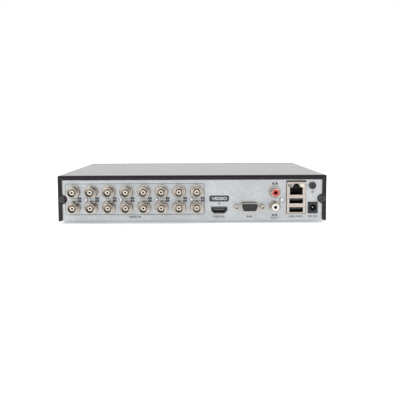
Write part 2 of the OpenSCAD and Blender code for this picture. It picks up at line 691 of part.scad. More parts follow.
module video_jack_housings() color(shade_black) {
    face = -sheet_t - 0.2;
    difference() {
        for (i = [0:jack_columns - 1]) at_rear(jack_u0 + i * jack_pitch, board_top + seat)
            translate([-housing_w / 2, 0, face - housing_d])
                cube([housing_w, jack_axis_h + jack_row_pitch + 7, housing_d]);
        each_jack() translate([0, 0, face - 6.1]) {
            cylinder(r = stem_r + running, h = 8);
            translate([0, 0, collar_back - face + 6]) cylinder(r = collar_r + running, h = 3);
        }
        for (i = [1:2:jack_columns - 1])
            at_rear(jack_u0 + i * jack_pitch + jack_screw_u, jack_screw_v)
                translate([0, 0, face - 7]) cylinder(r = jack_screw_r + running, h = 9);
    }
}

module video_jack_barrels() color(shade_nickel) each_jack() difference() {
    union() {
        translate([0, 0, -sheet_t - 6.2]) cylinder(r = stem_r, h = 7);
        translate([0, 0, collar_back]) cylinder(r = collar_r, h = collar_l - collar_back);
        translate([0, 0, collar_l - eps]) cylinder(r1 = collar_r, r2 = collar_r - 0.5, h = 0.5);
        cylinder(r = barrel_r, h = jack_reach - 0.4);
        translate([0, 0, jack_reach - 0.4]) cylinder(r1 = barrel_r, r2 = barrel_r - 0.35, h = 0.4);
        // bayonet lugs
        for (s = [-1, 1]) translate([0, s * (barrel_r - 0.6), jack_reach - lug_back])
            rotate([-90 * s, 0, 0]) cylinder(r = lug_r, h = 1.2);
    }
    translate([0, 0, bore_floor]) cylinder(r = barrel_bore_r, h = jack_reach);
    translate([0, 0, -5]) cylinder(r = contact_bore_r + 0.35, h = 8);
}

module video_jack_insulators() color("white") each_jack() difference() {
    union() {
        translate([0, 0, bore_floor + seat]) cylinder(r = base_r, h = base_l);
        translate([0, 0, bore_floor + base_l]) cylinder(r1 = base_r, r2 = insulator_r, h = 0.8);
        translate([0, 0, bore_floor + base_l]) cylinder(r = insulator_r, h = nose_z - bore_floor - base_l);
        translate([0, 0, nose_z - eps]) cylinder(r1 = insulator_r, r2 = insulator_r - 0.3, h = 0.3);
    }
    translate([0, 0, 1]) cylinder(r = contact_bore_r + 0.27, h = jack_reach);
}

module video_jack_contacts() color(shade_gold) each_jack() difference() {
    translate([0, 0, -4.9]) cylinder(r = contact_bore_r + 0.25, h = jack_reach + 2.6);
    translate([0, 0, 1.5]) cylinder(r = contact_bore_r, h = jack_reach);
}

module video_jack_screws() color("silver") for (i = [1:2:jack_columns - 1])
    at_rear(jack_u0 + i * jack_pitch + jack_screw_u, jack_screw_v)
        translate([0, 0, seat]) pan_screw(1.9, 1.3, jack_screw_r, 6.5);

// ---------- monitor and digital video sockets ----------

module digital_video_shell() color(shade_nickel) at_rear(digital_u, digital_v) difference() {
    union() {
        translate([0, 0, -11.5]) linear_extrude(12) digital_outline(digital_w + 0.8, digital_h + 0.8);
        // feet that stand on the board
        for (x = [-3.8, 2.8], z = [-10.5, -4.5]) translate([x, board_top - digital_v + seat, z])
            cube([1, 0.8, 2]);
    }
    translate([0, 0, -10.5]) linear_extrude(12) digital_outline(digital_w, digital_h);
}

module digital_video_tongue() color(shade_black) at_rear(digital_u, digital_v) {
    translate([0, 0, -10.45]) linear_extrude(2)
        digital_outline(digital_w - 2 * running, digital_h - 2 * running);
    translate([-5.4, -0.1, -8.5]) cube([10.8, 1.5, 7.5]);
}

module monitor_socket_shell() color(shade_nickel) at_rear(monitor_u, monitor_v) difference() {
    union() {
        translate([-15.4, -6.2, -sheet_t - 0.75]) cube([30.8, 12.5, 0.7]);
        translate([0, 0, -sheet_t - 0.1]) linear_extrude(1.6)
            d_outline(monitor_w + 1.5, monitor_h + 1.5, monitor_round + 0.5);
        linear_extrude(6) d_outline(monitor_w + 0.9, monitor_h + 0.9, monitor_round + 0.3);
    }
    translate([0, 0, -4]) linear_extrude(12) d_outline(monitor_w, monitor_h, monitor_round);
    for (s = [-1, 1]) translate([s * post_pitch / 2, 0, -4]) cylinder(r = post_r + post_gap, h = 6);
}

module monitor_socket_insert() color([0.1, 0.1, 0.13]) at_rear(monitor_u, monitor_v) difference() {
    translate([0, 0, -sheet_t - 0.7]) linear_extrude(sheet_t + 6.3)
        d_outline(monitor_w - 2 * running, monitor_h - 2 * running, monitor_round - running);
    for (row = [-1:1], i = [-2:2])
        translate([i * 2.29 - row * 0.4, row * 1.98, 1]) cylinder(r = 0.55, h = 8, $fn = 16);  // pin holes
}

module monitor_socket_body() color([0.1, 0.1, 0.13]) at_rear(monitor_u, monitor_v)
    difference() {
        translate([-15.2, board_top - monitor_v + seat, -sheet_t - 0.8 - 11.5]) cube([30.4, 12.5, 11.5]);
        for (s = [-1, 1]) translate([s * post_pitch / 2, 0, -14]) cylinder(r = post_r + post_gap, h = 20);
    }

module monitor_socket_posts() color(shade_nickel) for (s = [-1, 1])
    at_rear(monitor_u + s * post_pitch / 2, monitor_v) difference() {
        union() {
            translate([0, 0, seat]) cylinder(r = 2.75, h = 4.6, $fn = 6);
            translate([0, 0, 4.6]) cylinder(r1 = 2.3, r2 = 2, h = 0.4);
            translate([0, 0, -sheet_t - 8]) cylinder(r = post_r, h = sheet_t + 8.1);
        }
        translate([0, 0, 0.5]) cylinder(r = post_r, h = 6);
    }

// ---------- audio jacks ----------

module each_audio() for (k = [0, 1]) at_rear(audio_u, audio_v + k * audio_pitch) children();

module audio_jack_housing() color(shade_black) difference() {
    at_rear(audio_u, board_top + seat) translate([-5.4, 0, -sheet_t - 0.2 - 12])
        cube([15.4, audio_v - board_top + audio_pitch + 6, 12]);
    each_audio() translate([0, 0, -sheet_t - 9]) cylinder(r = audio_core_r + running, h = 12);
    each_audio() translate([0, 0, -sheet_t - 1.2]) cylinder(r = audio_collar_r + running, h = 3);
    at_rear(audio_screw_u, audio_screw_v) translate([0, 0, -sheet_t - 7])
        cylinder(r = audio_screw_r + running, h = 9);
}

module audio_jack_shells() color(shade_nickel) each_audio() difference() {
    union() {
        translate([0, 0, -sheet_t - 1]) cylinder(r = audio_collar_r, h = sheet_t + 3.6);
        translate([0, 0, 2.6 - eps]) cylinder(r1 = audio_collar_r, r2 = audio_collar_r - 0.6, h = 0.6);
        cylinder(r = audio_shell_r, h = audio_reach);
        translate([0, 0, audio_reach - eps]) cylinder(r1 = audio_shell_r, r2 = audio_shell_r - 0.3, h = 0.4);
    }
    translate([0, 0, -4]) cylinder(r = audio_core_r + running, h = 14);
}

module audio_insulator(k) at_rear(audio_u, audio_v + k * audio_pitch) difference() {
    translate([0, 0, -sheet_t - 8.5]) cylinder(r = audio_core_r, h = sheet_t + 8.5 + audio_reach + 0.2);
    translate([0, 0, contact_back]) cylinder(r = audio_bore_r, h = 12);
    translate([0, 0, -sheet_t - 9])
        cylinder(r = contact_r + running, h = sheet_t + 9 + contact_back + contact_l);
}

module audio_in_insulator() color("red") audio_insulator(1);

module audio_out_insulator() color("white") audio_insulator(0);

module audio_jack_contacts() color(shade_gold) each_audio()
    difference() {
        union() {
            translate([0, 0, contact_back - seat]) cylinder(r = contact_r, h = contact_l);
            translate([0, 0, -sheet_t - 8]) cylinder(r = 0.7, h = sheet_t + 8);
        }
        translate([0, 0, contact_back + 0.6]) cylinder(r = 1, h = contact_l);
    }

module audio_jack_screw() color("silver") at_rear(audio_screw_u, audio_screw_v)
    translate([0, 0, seat]) pan_screw(2.55, 1.7, audio_screw_r, 6.5);

// ---------- network and data sockets ----------

module shield_block(inset) translate([inset - shield_w / 2, inset, shield_front - shield_d + inset])
    cube([shield_w - 2 * inset, shield_h - 2 * inset, shield_d - 2 * inset]);

// Mouth of the network socket: body, shoulder and latch slot, top edge at the given height
module lan_mouth(grow) {
    translate([-lan_w / 2 - grow, lan_h[0] - lan_h[1] / 2 - grow])
        square([lan_w + 2 * grow, 7.4 + 2 * grow]);
    translate([-3.5 - grow, lan_h[0]]) square([7 + 2 * grow, 3.9 + grow]);
    translate([-2.3 - grow, lan_h[0]]) square([4.6 + 2 * grow, lan_h[1] / 2 + grow]);
}

module data_mouths(grow) for (m = data_h)
    translate([-data_w / 2 - grow, m[0] - m[1] / 2 - grow]) square([data_w + 2 * grow, m[1] + 2 * grow]);

// Corners above the network socket's shoulders where its two lamps show
module lamp_windows(grow) for (s = [-1, 1])
    translate([s * 6 - 1.9 - grow, lan_h[0] + 2.1 - grow]) square([3.8 + 2 * grow, 3 + 2 * grow]);

module network_socket_shield() color(shade_nickel) at_rear(network_u, board_top + seat) difference() {
    shield_block(0);
    shield_block(shield_t);
    translate([0, 0, -2]) linear_extrude(8) {
        lan_mouth(0);
        data_mouths(0);
        lamp_windows(0);
    }
}

module network_socket_insert() color(shade_black) at_rear(network_u, board_top + seat) difference() {
    shield_block(shield_t + running);
    translate([0, 0, shield_front - 14]) linear_extrude(20) lan_mouth(-0.1);
    translate([0, 0, shield_front - 15]) linear_extrude(20) data_mouths(-0.1);
    translate([0, 0, shield_front - 8]) linear_extrude(20) lamp_windows(0.05);
}

module network_socket_contacts() color(shade_gold) at_rear(network_u, board_top)
    for (i = [0:7]) translate([(i - 3.5) * 1.02, lan_h[0] - 5.35, shield_front - 13.9])
        rotate([-62, 0, 0]) translate([-0.15, -0.9, 0.5]) cube([0.3, 0.3, 5]);

module network_socket_lamps() color("ivory") at_rear(network_u, board_top + seat)
    translate([0, 0, shield_front - 7.9]) linear_extrude(7.9) lamp_windows(-0.05);

module data_socket_tongues() color([0.2, 0.2, 0.22]) at_rear(network_u, board_top + seat)
    for (m = data_h) translate([-5.6, m[0] + 0.3, shield_front - 15 + seat]) cube([11.2, 1.8, 13]);

// ---------- power jack and ground screw ----------

module power_jack_body() color(shade_black) at_rear(power_u, power_v) difference() {
    translate([-power_w / 2, board_top - power_v + seat, -13]) cube([power_w, power_h, 13.7]);
    translate([0, 0, -9]) cylinder(r = power_bore_r, h = 12);
    translate([0, 0, -11]) cylinder(r = power_pin_r + 0.02, h = 4);
}

module power_jack_pin() color(shade_nickel) at_rear(power_u, power_v) {
    translate([0, 0, -11 + seat]) cylinder(r = power_pin_r, h = 9.4);
    translate([0, 0, -1.6]) cylinder(r1 = power_pin_r, r2 = power_pin_r * 0.5, h = 0.6);
}

module ground_screw() color(shade_black) at_rear(ground_u, ground_v) translate([0, 0, seat])
    pan_screw(3.55, 2.2, ground_screw_r, 6);

// ---------- fan ----------

module at_fan() translate([fan_x1, fan_y, fan_z]) rotate([0, -90, 0]) children();

module fan_frame() color(shade_black) at_fan() difference() {
    union() {
        difference() {
            linear_extrude(fan_t) polygon(round_rect(fan_w, fan_w, 2.5));
            translate([0, 0, -1]) cylinder(r = 18.9, h = fan_t + 2);
        }
        // motor seat, its arms and the bearing tube
        cylinder(r = 9.5, h = 1.4);
        for (a = [45:90:315]) rotate(a) translate([8, -1, 0]) cube([13, 2, 1.4]);
        cylinder(r = 3.4, h = 7);
    }
    for (x = [-1, 1], y = [-1, 1]) translate([x * fan_pitch / 2, y * fan_pitch / 2, -1])
        cylinder(r = 1.65, h = fan_t + 2);
    translate([0, 0, 1]) cylinder(r = 1.05, h = 9);
}

module fan_rotor() color([0.12, 0.12, 0.12]) at_fan() {
    difference() {
        translate([0, 0, 1.9]) cylinder(r = 9.5, h = fan_t - 2.3);
        translate([0, 0, 1.8]) cylinder(r = 8.6, h = fan_t - 3.4);
    }
    translate([0, 0, 1.6]) cylinder(r = 1, h = fan_t - 2.4);
    for (i = [0:fan_blades - 1]) rotate(i * 360 / fan_blades)
        translate([9, 0, fan_t / 2 + 0.7]) rotate([38, 0, 0]) translate([0, -3.9, -0.4])
            cube([9.2, 7.8, 0.8]);
}

module fan_screws() color("silver") for (y = [-1, 1], z = [-1, 1])
    translate([fan_x1 - fan_t - eps, fan_y + y * fan_pitch / 2, fan_z + z * fan_pitch / 2])
        rotate([0, -90, 0]) pan_screw(2.7, 1.8, board_screw_r, fan_t + 0.8);

// ---------- disk drive ----------

module disk_base() color([0.62, 0.63, 0.65]) difference() {
    union() {
        difference() {
            translate([disk_x0, disk_y0, disk_z0 + seat]) cube([disk_l, disk_w, disk_h - 1.05]);
            // chamber for the platters and the head arm
            translate([spindle[0], spindle[1], cavity_z]) cylinder(r = platter_r + 1.2, h = disk_h);
            translate([spindle[0], spindle[1] - 46.5, cavity_z]) cube([87, 93, disk_h]);
        }
        translate([spindle[0], spindle[1], cavity_z - 1]) cylinder(r = 3, h = 13.5);
        translate([pivot[0], pivot[1], cavity_z - 1]) cylinder(r = 2.5, h = 15);
    }
    // recess for the board, and the notch for its connector
    translate([disk_x0 + 30, disk_y0 + 9, disk_z0 - 1])
        cube([disk_l - 30 + 1, disk_w - 18, disk_board_z + board_t + running + 1]);
    translate([disk_x0 + disk_l - 9.1, disk_y0 + 31.9, disk_z0])
        cube([10, 38.2, disk_board_z + board_t + 1.8]);
    for (p = disk_board_xy) translate([p[0], p[1], disk_z0]) cylinder(r = small_screw_r + running, h = 5);
    for (p = disk_lid_xy) translate([p[0], p[1], disk_z0 + disk_h - 4])
        cylinder(r = small_screw_r + running, h = 5);
    for (x = disk_screw_x, y = disk_screw_y)
        translate([disk_x0 + x, disk_y0 + y, disk_z0 - 1]) cylinder(r = disk_screw_r + running, h = 6);
    for (x = [28.5, 130.1], y = [-1, disk_w - 4]) translate([disk_x0 + x, disk_y0 + y, disk_z0 + 6.4])
        rotate([-90, 0, 0]) cylinder(r = 1.6, h = 5);
}

module disk_lid() color("gainsboro") {
    difference() {
        translate([disk_x0 + disk_l / 2, disk_y0 + disk_w / 2, disk_z0 + disk_h - 1])
            linear_extrude(0.7) polygon(round_rect(disk_l - 1, disk_w - 1, 3));
        for (p = disk_lid_xy) translate([p[0], p[1], disk_z0]) cylinder(r = small_screw_r + running, h = 40);
    }
    translate([spindle[0], spindle[1], disk_z0 + disk_h - 0.4]) cylinder(r = 45, h = 0.4);
    translate([spindle[0] + 44, spindle[1] - 40, disk_z0 + disk_h - 0.4]) cube([38, 80, 0.4]);
}

module disk_platters() color("gainsboro") translate([spindle[0], spindle[1], cavity_z]) difference() {
    union() {
        translate([0, 0, 1]) cylinder(r = 14, h = 12.4);
        for (z = [4.6, 10.2]) translate([0, 0, z]) cylinder(r = platter_r, h = 1.3);
        translate([0, 0, 13.4 - eps]) cylinder(r = 15.5, h = 1.2);
    }
    translate([0, 0, -1]) cylinder(r = 3.05, h = 14);
}

module disk_head_arm() color("silver") translate([pivot[0], pivot[1], cavity_z]) rotate(park_angle)
    difference() {
        union() {
            translate([0, 0, 0.6]) cylinder(r = 7.5, h = 14);
            for (z = [2.2, 7.5, 13]) translate([0, 0, z]) linear_extrude(1)
                polygon([[0, -5], [30, -2.4], [48, -1.2], [48, 1.2], [30, 2.4], [0, 5]]);
            // coil behind the pivot
            translate([0, 0, 5]) linear_extrude(3)
                polygon(concat([[0, 5]], arc(0, 0, 21.5, 152, 208), [[0, -5]]));
        }
        translate([0, 0, -1]) cylinder(r = 2.55, h = 20);
    }

module disk_board() color(shade_board) {
    difference() {
        translate([disk_x0 + 31, disk_y0 + 10, disk_z0 + disk_board_z])
            cube([disk_l - 32, disk_w - 20, board_t]);
        for (p = disk_board_xy) translate([p[0], p[1], disk_z0]) cylinder(r = small_screw_r + running, h = 5);
    }
    // data and power connector at the drive's end
    color("black") translate([disk_x0 + disk_l - 9, disk_y0 + 32, disk_z0 + disk_board_z + board_t - eps])
        cube([9, 38, 1.7]);
}

module disk_screws() color("silver") {
    for (x = disk_screw_x, y = disk_screw_y)
        translate([disk_x0 + x, disk_y0 + y, disk_z0 - sheet_t - seat]) mirror([0, 0, 1])
            pan_screw(3.4, 1.9, disk_screw_r, 4.5);
    for (p = disk_board_xy) translate([p[0], p[1], disk_z0 + disk_board_z - seat]) mirror([0, 0, 1])
        pan_screw(1.9, 0.55, small_screw_r, 4);
    for (p = disk_lid_xy) translate([p[0], p[1], disk_z0 + disk_h - 0.3 + seat])
        pan_screw(2, 0.5, small_screw_r, 3.5);
}

// ---------- sockets on the board and the leads ----------

// Block that stands on the board, set back from its front edge: centre x, distance back, size
module board_block(x, back, size)
    translate([x - size[0] / 2, board_y0 + back, foot_h + board_top + seat]) cube(size);

// Plug body along +X with its mating end at the origin
module plug(size) translate([0, -size[1] / 2, -size[2] / 2]) cube(size);

module board_sockets() {
    color(shade_black) board_block(data_to[0], plug_back + running, [16, 8, 7]);
    color("ivory") board_block(power_to[0], plug_back + running, [12, 8, 7]);
    color("ivory") board_block(fan_to[0], plug_back - 2 + running, [6, 6, 6]);
    color("ivory") board_block(lamp_to[0], plug_back - 2 + running, [10, 6, 6]);
    color("ivory") translate([lamp_x[1] - 5, lamp_board_y + seat, foot_h + lamp_v - 5.5])
        cube([10, 4, 5]);
}

module disk_data_cable() color("firebrick") {
    translate(data_from - [9 - running, 0, 0]) plug([9, 14, 5]);
    translate([data_to[0], board_y0 + plug_back, data_to[2]]) rotate(-90) plug([9, 13, 5]);
    lead(curve([data_from, data_from + [8, 0, 0], [data_to[0] + 4, data_from[1] + 14, 15],
                data_to + [0, -12, 0], data_to + [0, -3.6, 0]], 5), 1.9, [0, 0, 1], 10);
}

module disk_power_cable() {
    color("black") translate(power_from - [9 - running, 0, 0]) plug([9, 22, 5]);
    color("ivory") translate([power_to[0], board_y0 + plug_back, power_to[2]]) rotate(-90)
        plug([8, 11, 5]);
    color("gold") for (k = [-1.5:1:1.5])
        lead(curve([power_from + [0, k * 3.4, 0], power_from + [9, k * 3, 0],
                    [power_to[0] - 2 - k * 2.4, power_from[1] + 24, 14],
                    power_to - [k * 2.2, 12, 0], power_to - [k * 2.4, 2.6, 0]], 5), 0.8, [0, 0, 1]);
}

module fan_lead() {
    color("ivory") translate([fan_to[0], board_y0 + plug_back - 2, fan_to[2]]) rotate(-90)
        plug([6, 5, 4.6]);
    color("black") for (k = [-1.2, 1.2])
        lead(curve([[fan_x1 - fan_t + 1.8, fan_y + fan_w / 2 + 0.3, floor_z + 6 + k],
                    [fan_x1 - fan_t + 1.5, fan_y + fan_w / 2 + 6, floor_z + 6 + k],
                    [fan_to[0] + 2 + k, fan_y + fan_w / 2 + 14, floor_z + 8 + k],
                    fan_to + [k, -8, 0], fan_to + [k, -3.6, 0]], 4), 0.6, [0, 0, 1]);
}

module indicator_lead() {
    color("ivory") translate([lamp_to[0], board_y0 + plug_back - 2, lamp_to[2]]) rotate(-90)
        plug([6, 9, 4.6]);
    color("ivory") translate([lamp_x[1], lamp_board_y + 4 + running, foot_h + lamp_v - 3]) rotate(90)
        plug([5, 9, 4.4]);
    color("white") for (k = [-2.4:1.6:2.4])
        lead(curve([[lamp_x[1] + k, lamp_board_y + 8.8, foot_h + lamp_v - 3],
                    [lamp_x[1] + k, lamp_board_y + 15, foot_h + lamp_v - 4],
                    [lamp_to[0] + 6 + k, fan_y - 20, floor_z + 4],
                    [lamp_to[0] + 5 + k, fan_y + 20, floor_z + 3],
                    lamp_to + [k, -10, 0], lamp_to + [k, -3.6, 0]], 4), 0.55, [1, 0, 0.3]);
}

chassis();
top_cover();
cover_screws();
front_bezel();
bezel_strip();
light_pipes();
indicator_board();
indicator_lamps();
rubber_feet();
main_board();
board_standoffs();
board_screws();
video_jack_housings();
video_jack_barrels();
video_jack_insulators();
video_jack_contacts();
video_jack_screws();
digital_video_shell();
digital_video_tongue();
monitor_socket_shell();
monitor_socket_insert();
monitor_socket_body();
monitor_socket_posts();
audio_jack_housing();
audio_jack_shells();
audio_in_insulator();
audio_out_insulator();
audio_jack_contacts();
audio_jack_screw();
network_socket_shield();
network_socket_insert();
network_socket_contacts();
network_socket_lamps();
data_socket_tongues();
ground_screw();
power_jack_body();
power_jack_pin();
processor();
heatsink();
memory_chips();
video_chips();
capacitors();
power_coils();
battery_holder();
coin_cell();
buzzer();
board_sockets();
fan_frame();
fan_rotor();
fan_screws();
disk_base();
disk_lid();
disk_platters();
disk_head_arm();
disk_board();
disk_screws();
disk_data_cable();
disk_power_cable();
fan_lead();
indicator_lead();
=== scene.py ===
import json
import math
import random

import bpy
from mathutils import Euler, Matrix, Vector


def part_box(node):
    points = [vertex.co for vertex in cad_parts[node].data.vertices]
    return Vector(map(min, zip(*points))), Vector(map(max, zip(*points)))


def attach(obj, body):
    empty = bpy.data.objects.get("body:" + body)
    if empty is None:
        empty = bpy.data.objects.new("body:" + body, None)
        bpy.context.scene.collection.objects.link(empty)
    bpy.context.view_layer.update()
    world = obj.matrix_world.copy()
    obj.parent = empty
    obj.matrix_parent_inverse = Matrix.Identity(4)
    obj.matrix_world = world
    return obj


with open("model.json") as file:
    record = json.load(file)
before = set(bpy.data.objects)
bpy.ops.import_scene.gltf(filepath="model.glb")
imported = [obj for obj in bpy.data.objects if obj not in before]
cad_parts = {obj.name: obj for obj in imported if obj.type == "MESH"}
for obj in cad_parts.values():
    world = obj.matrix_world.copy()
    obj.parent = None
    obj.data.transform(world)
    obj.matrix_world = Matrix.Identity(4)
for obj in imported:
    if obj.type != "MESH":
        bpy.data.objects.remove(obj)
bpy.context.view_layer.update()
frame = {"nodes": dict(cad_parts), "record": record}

# ---------- places, all in metres ----------

MM = 0.001
NODES = frame["nodes"]
PORT = {m["name"]: Vector(m["pos_m"]) for m in frame["record"]["mounts"]}
LOW = {name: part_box(name)[0] for name in NODES}
HIGH = {name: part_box(name)[1] for name in NODES}
PANEL_Y = HIGH["chassis"].y                      # the rear panel's outer face
FLOOR_Z = LOW["chassis"].z                       # the case's underside
BOARD_Z = HIGH["main_board"].z                   # top of the main board
MIDDLE = (LOW["top_cover"] + HIGH["top_cover"]) / 2
PRINT = 0.04 * MM                                # thickness of printed ink
SAME = 0.001 * MM                                # points closer than this are one point
CAPITAL = 0.7                                    # height of a capital letter in a font of size 1
BANDS = 0.314                                    # a wave texture's scale times the distance between bands
# Turns a piece drawn flat in XY to stand on the rear panel: X to the right as seen from behind, Z out of it
TO_REAR = Matrix.Rotation(math.pi, 4, "Z") @ Matrix.Rotation(math.pi / 2, 4, "X")
# The same for the front of the bezel, which faces the other way
TO_FRONT = Matrix.Rotation(math.pi / 2, 4, "X")


# ---------- camera, floor and light ----------

CAMERA_PLACE = (-3.0 * MM, 745.1 * MM, 92.4 * MM)
CAMERA_TURN = (83.80, 0.209, 179.584)            # degrees
# The surroundings that the object reflects grow brighter along this direction, between these two ends
BRIGHTER_TO = (0.08, -0.42, 0.38)
DIM_END, BRIGHT_END = (0.12, (0.14, 0.14, 0.145, 1)), (0.8, (1, 1, 1, 1))
# Name, place and size in metres, watts
LIGHTS = [("key", (0.8, 0.8, 0.65), (0.8, 0.6), 7.6),
          ("fill", (-0.9, 0.7, 0.35), (0.4, 0.5), 2.6),
          ("top", (0.0, -0.1, 1.1), (1.4, 1.0), 3.0)]


def make_camera():
    camera = bpy.data.objects.new("camera", bpy.data.cameras.new("camera"))
    camera.data.sensor_width = 36
    camera.data.lens = 59.85
    camera.location = CAMERA_PLACE
    camera.rotation_euler = Euler([math.radians(a) for a in CAMERA_TURN])
    bpy.context.scene.collection.objects.link(camera)
    bpy.context.scene.camera = camera


def make_light(name, spot, size, watts):
    """Rectangular lamp that faces the middle of the case."""
    lamp = bpy.data.lights.new(name, "AREA")
    lamp.shape, lamp.size, lamp.size_y, lamp.energy = "RECTANGLE", size[0], size[1], watts
    lit = bpy.data.objects.new(name, lamp)
    lit.location = spot
    lit.rotation_euler = (MIDDLE - Vector(spot)).to_track_quat("-Z", "Y").to_euler()
    bpy.context.scene.collection.objects.link(lit)


def make_studio():
    """White surroundings to the eye.

    What the object reflects is bright behind it and darker on the camera's side.
    """
    scene = bpy.context.scene
    scene.view_settings.view_transform = "Standard"
    scene.view_settings.look = "None"
    world = bpy.data.worlds.new("studio")
    world.use_nodes = True
    scene.world = world
    world.node_tree.nodes.clear()
    way = add(world, "ShaderNodeTexCoord", {}, {})
    slope = add(world, "ShaderNodeVectorMath", {"operation": "DOT_PRODUCT", 1: BRIGHTER_TO},
                {0: (way, "Generated")})
    height = add(world, "ShaderNodeMath", {"operation": "ADD", 1: 0.5}, {0: (slope, "Value")})
    ramp = add(world, "ShaderNodeValToRGB", {"stops": [DIM_END, BRIGHT_END]},
               {"Fac": (height, "Value")})
    lit = add(world, "ShaderNodeBackground", {"Strength": 1.25}, {"Color": (ramp, "Color")})
    seen = add(world, "ShaderNodeBackground", {"Color": (1, 1, 1, 1)}, {})
    eye = add(world, "ShaderNodeLightPath", {}, {})
    mix = add(world, "ShaderNodeMixShader", {}, {0: (eye, "Is Camera Ray"), 1: (lit, 0), 2: (seen, 0)})
    add(world, "ShaderNodeOutputWorld", {}, {"Surface": (mix, 0)})
    for light in LIGHTS:
        make_light(*light)


def make_floor():
    fresh()
    bpy.ops.mesh.primitive_plane_add(size=12)
    floor = bpy.context.object
    floor.name = "floor"
    # A white studio table, lit from inside a little so that shadows stay soft and its far edge melts away
    floor.data.materials.append(finish("pale_floor", "#fbfbfb", "#f6f6f6", (0.6, 0.7), 40,
                                       sockets={"Emission Color": (1, 1, 1, 1), "Emission Strength": 0.28}))


# ---------- materials ----------

def paint(code):
    """Linear colour of an sRGB hex value."""
    parts = [int(code[i:i + 2], 16) / 255 for i in (1, 3, 5)]
    return tuple(p / 12.92 if p <= 0.04045 else ((p + 0.055) / 1.055) ** 2.4 for p in parts) + (1.0,)


def add(mat, kind, settings, links):
    """Adds a node: keys in small letters are its own properties, others and numbers are its sockets."""
    node = mat.node_tree.nodes.new(kind)
    for key, value in settings.items():
        if key == "stops":
            for element, (at, tone) in zip(node.color_ramp.elements, value):
                element.position, element.color = at, tone
        elif isinstance(key, str) and key[0].islower():
            setattr(node, key, value)
        else:
            node.inputs[key].default_value = value
    for key, (source, output) in links.items():
        mat.node_tree.links.new(source.outputs[output], node.inputs[key])
    return node


def finish(name, light, dark, gloss, grain, relief=0.0, stretch=(1, 1, 1), metal=0.0, sockets=None,
           broad=22):
    """A surface whose tone and relief follow grains of a real size, and whose gloss drifts over patches.

    Grain, relief and broad are in mm; gloss is the roughness at its two ends.
    """
    mat = bpy.data.materials.new(name)
    mat.use_nodes = True
    mat.node_tree.nodes.clear()
    place = add(mat, "ShaderNodeTexCoord", {}, {})
    turn = add(mat, "ShaderNodeMapping", {"Scale": stretch}, {"Vector": (place, "Object")})
    fine = add(mat, "ShaderNodeTexNoise", {"Scale": 1 / (grain * MM), "Detail": 3.0, "Roughness": 0.6},
               {"Vector": (turn, "Vector")})
    patch = add(mat, "ShaderNodeTexNoise", {"Scale": 1 / (broad * MM), "Detail": 2.0},
                {"Vector": (place, "Object")})
    both = add(mat, "ShaderNodeMath", {"operation": "MULTIPLY_ADD", "use_clamp": True, 2: 0.25},
               {0: (fine, "Fac"), 1: (patch, "Fac")})
    tone = add(mat, "ShaderNodeValToRGB", {"stops": [(0.36, paint(dark)), (0.64, paint(light))]},
               {"Fac": (both, "Value")})
    dull = add(mat, "ShaderNodeMapRange",
               {"From Min": 0.35, "From Max": 0.65, "To Min": gloss[0], "To Max": gloss[1]},
               {"Value": (patch, "Fac")})
    links = {"Base Color": (tone, "Color"), "Roughness": (dull, "Result")}
    if relief:
        bump = add(mat, "ShaderNodeBump", {"Distance": relief * MM, "Strength": 1.0},
                   {"Height": (fine, "Fac")})
        links["Normal"] = (bump, "Normal")
    shader = add(mat, "ShaderNodeBsdfPrincipled", {"Metallic": metal, **(sockets or {})}, links)
    add(mat, "ShaderNodeOutputMaterial", {}, {"Surface": (shader, "BSDF")})
    return mat


def node_of(mat, kind):
    """The first node of a kind in a material."""
    return [n for n in mat.node_tree.nodes if n.bl_idname == kind][0]


def galvanised_sheet():
    # Zinc-dipped steel sheet: bluish light grey, faint crystals a few mm across, and a fine dull grain
    mat = finish("galvanised_sheet", "#cbced0", "#b9bcbe", (0.42, 0.52), 0.5, 0.004, metal=1.0)
    place = node_of(mat, "ShaderNodeTexCoord")
    cells = add(mat, "ShaderNodeTexVoronoi", {"Scale": 1 / (2.6 * MM), "Randomness": 1.0},
                {"Vector": (place, "Object")})
    grey = add(mat, "ShaderNodeSeparateColor", {}, {"Color": (cells, "Color")})
    tint = add(mat, "ShaderNodeValToRGB", {"stops": [(0.0, (0.9, 0.9, 0.9, 1)), (1.0, (1, 1, 1, 1))]},
               {"Fac": (grey, "Red")})
    mixed = add(mat, "ShaderNodeMix", {"data_type": "RGBA", "blend_type": "MULTIPLY", 0: 1.0},
                {6: (node_of(mat, "ShaderNodeValToRGB"), "Color"), 7: (tint, "Color")})
    mat.node_tree.links.new(mixed.outputs[2], node_of(mat, "ShaderNodeBsdfPrincipled").inputs["Base Color"])
    return mat


def turned_nickel():
    # Nickel plate over turned zinc: warm grey, with tool rings along the barrel that catch the light
    mat = finish("turned_nickel", "#c0b9b0", "#a19990", (0.14, 0.24), 0.3, 0.003, metal=1.0, broad=6)
    place = node_of(mat, "ShaderNodeTexCoord")
    rings = add(mat, "ShaderNodeTexWave", {"bands_direction": "Y", "Scale": BANDS / (0.5 * MM),
                                           "Distortion": 0.4, "Detail": 1.0}, {"Vector": (place, "Object")})
    bump = add(mat, "ShaderNodeBump", {"Distance": 0.008 * MM, "Strength": 1.0},
               {"Height": (rings, "Fac"), "Normal": (node_of(mat, "ShaderNodeBump"), "Normal")})
    mat.node_tree.links.new(bump.outputs["Normal"], node_of(mat, "ShaderNodeBsdfPrincipled").inputs["Normal"])
    return mat


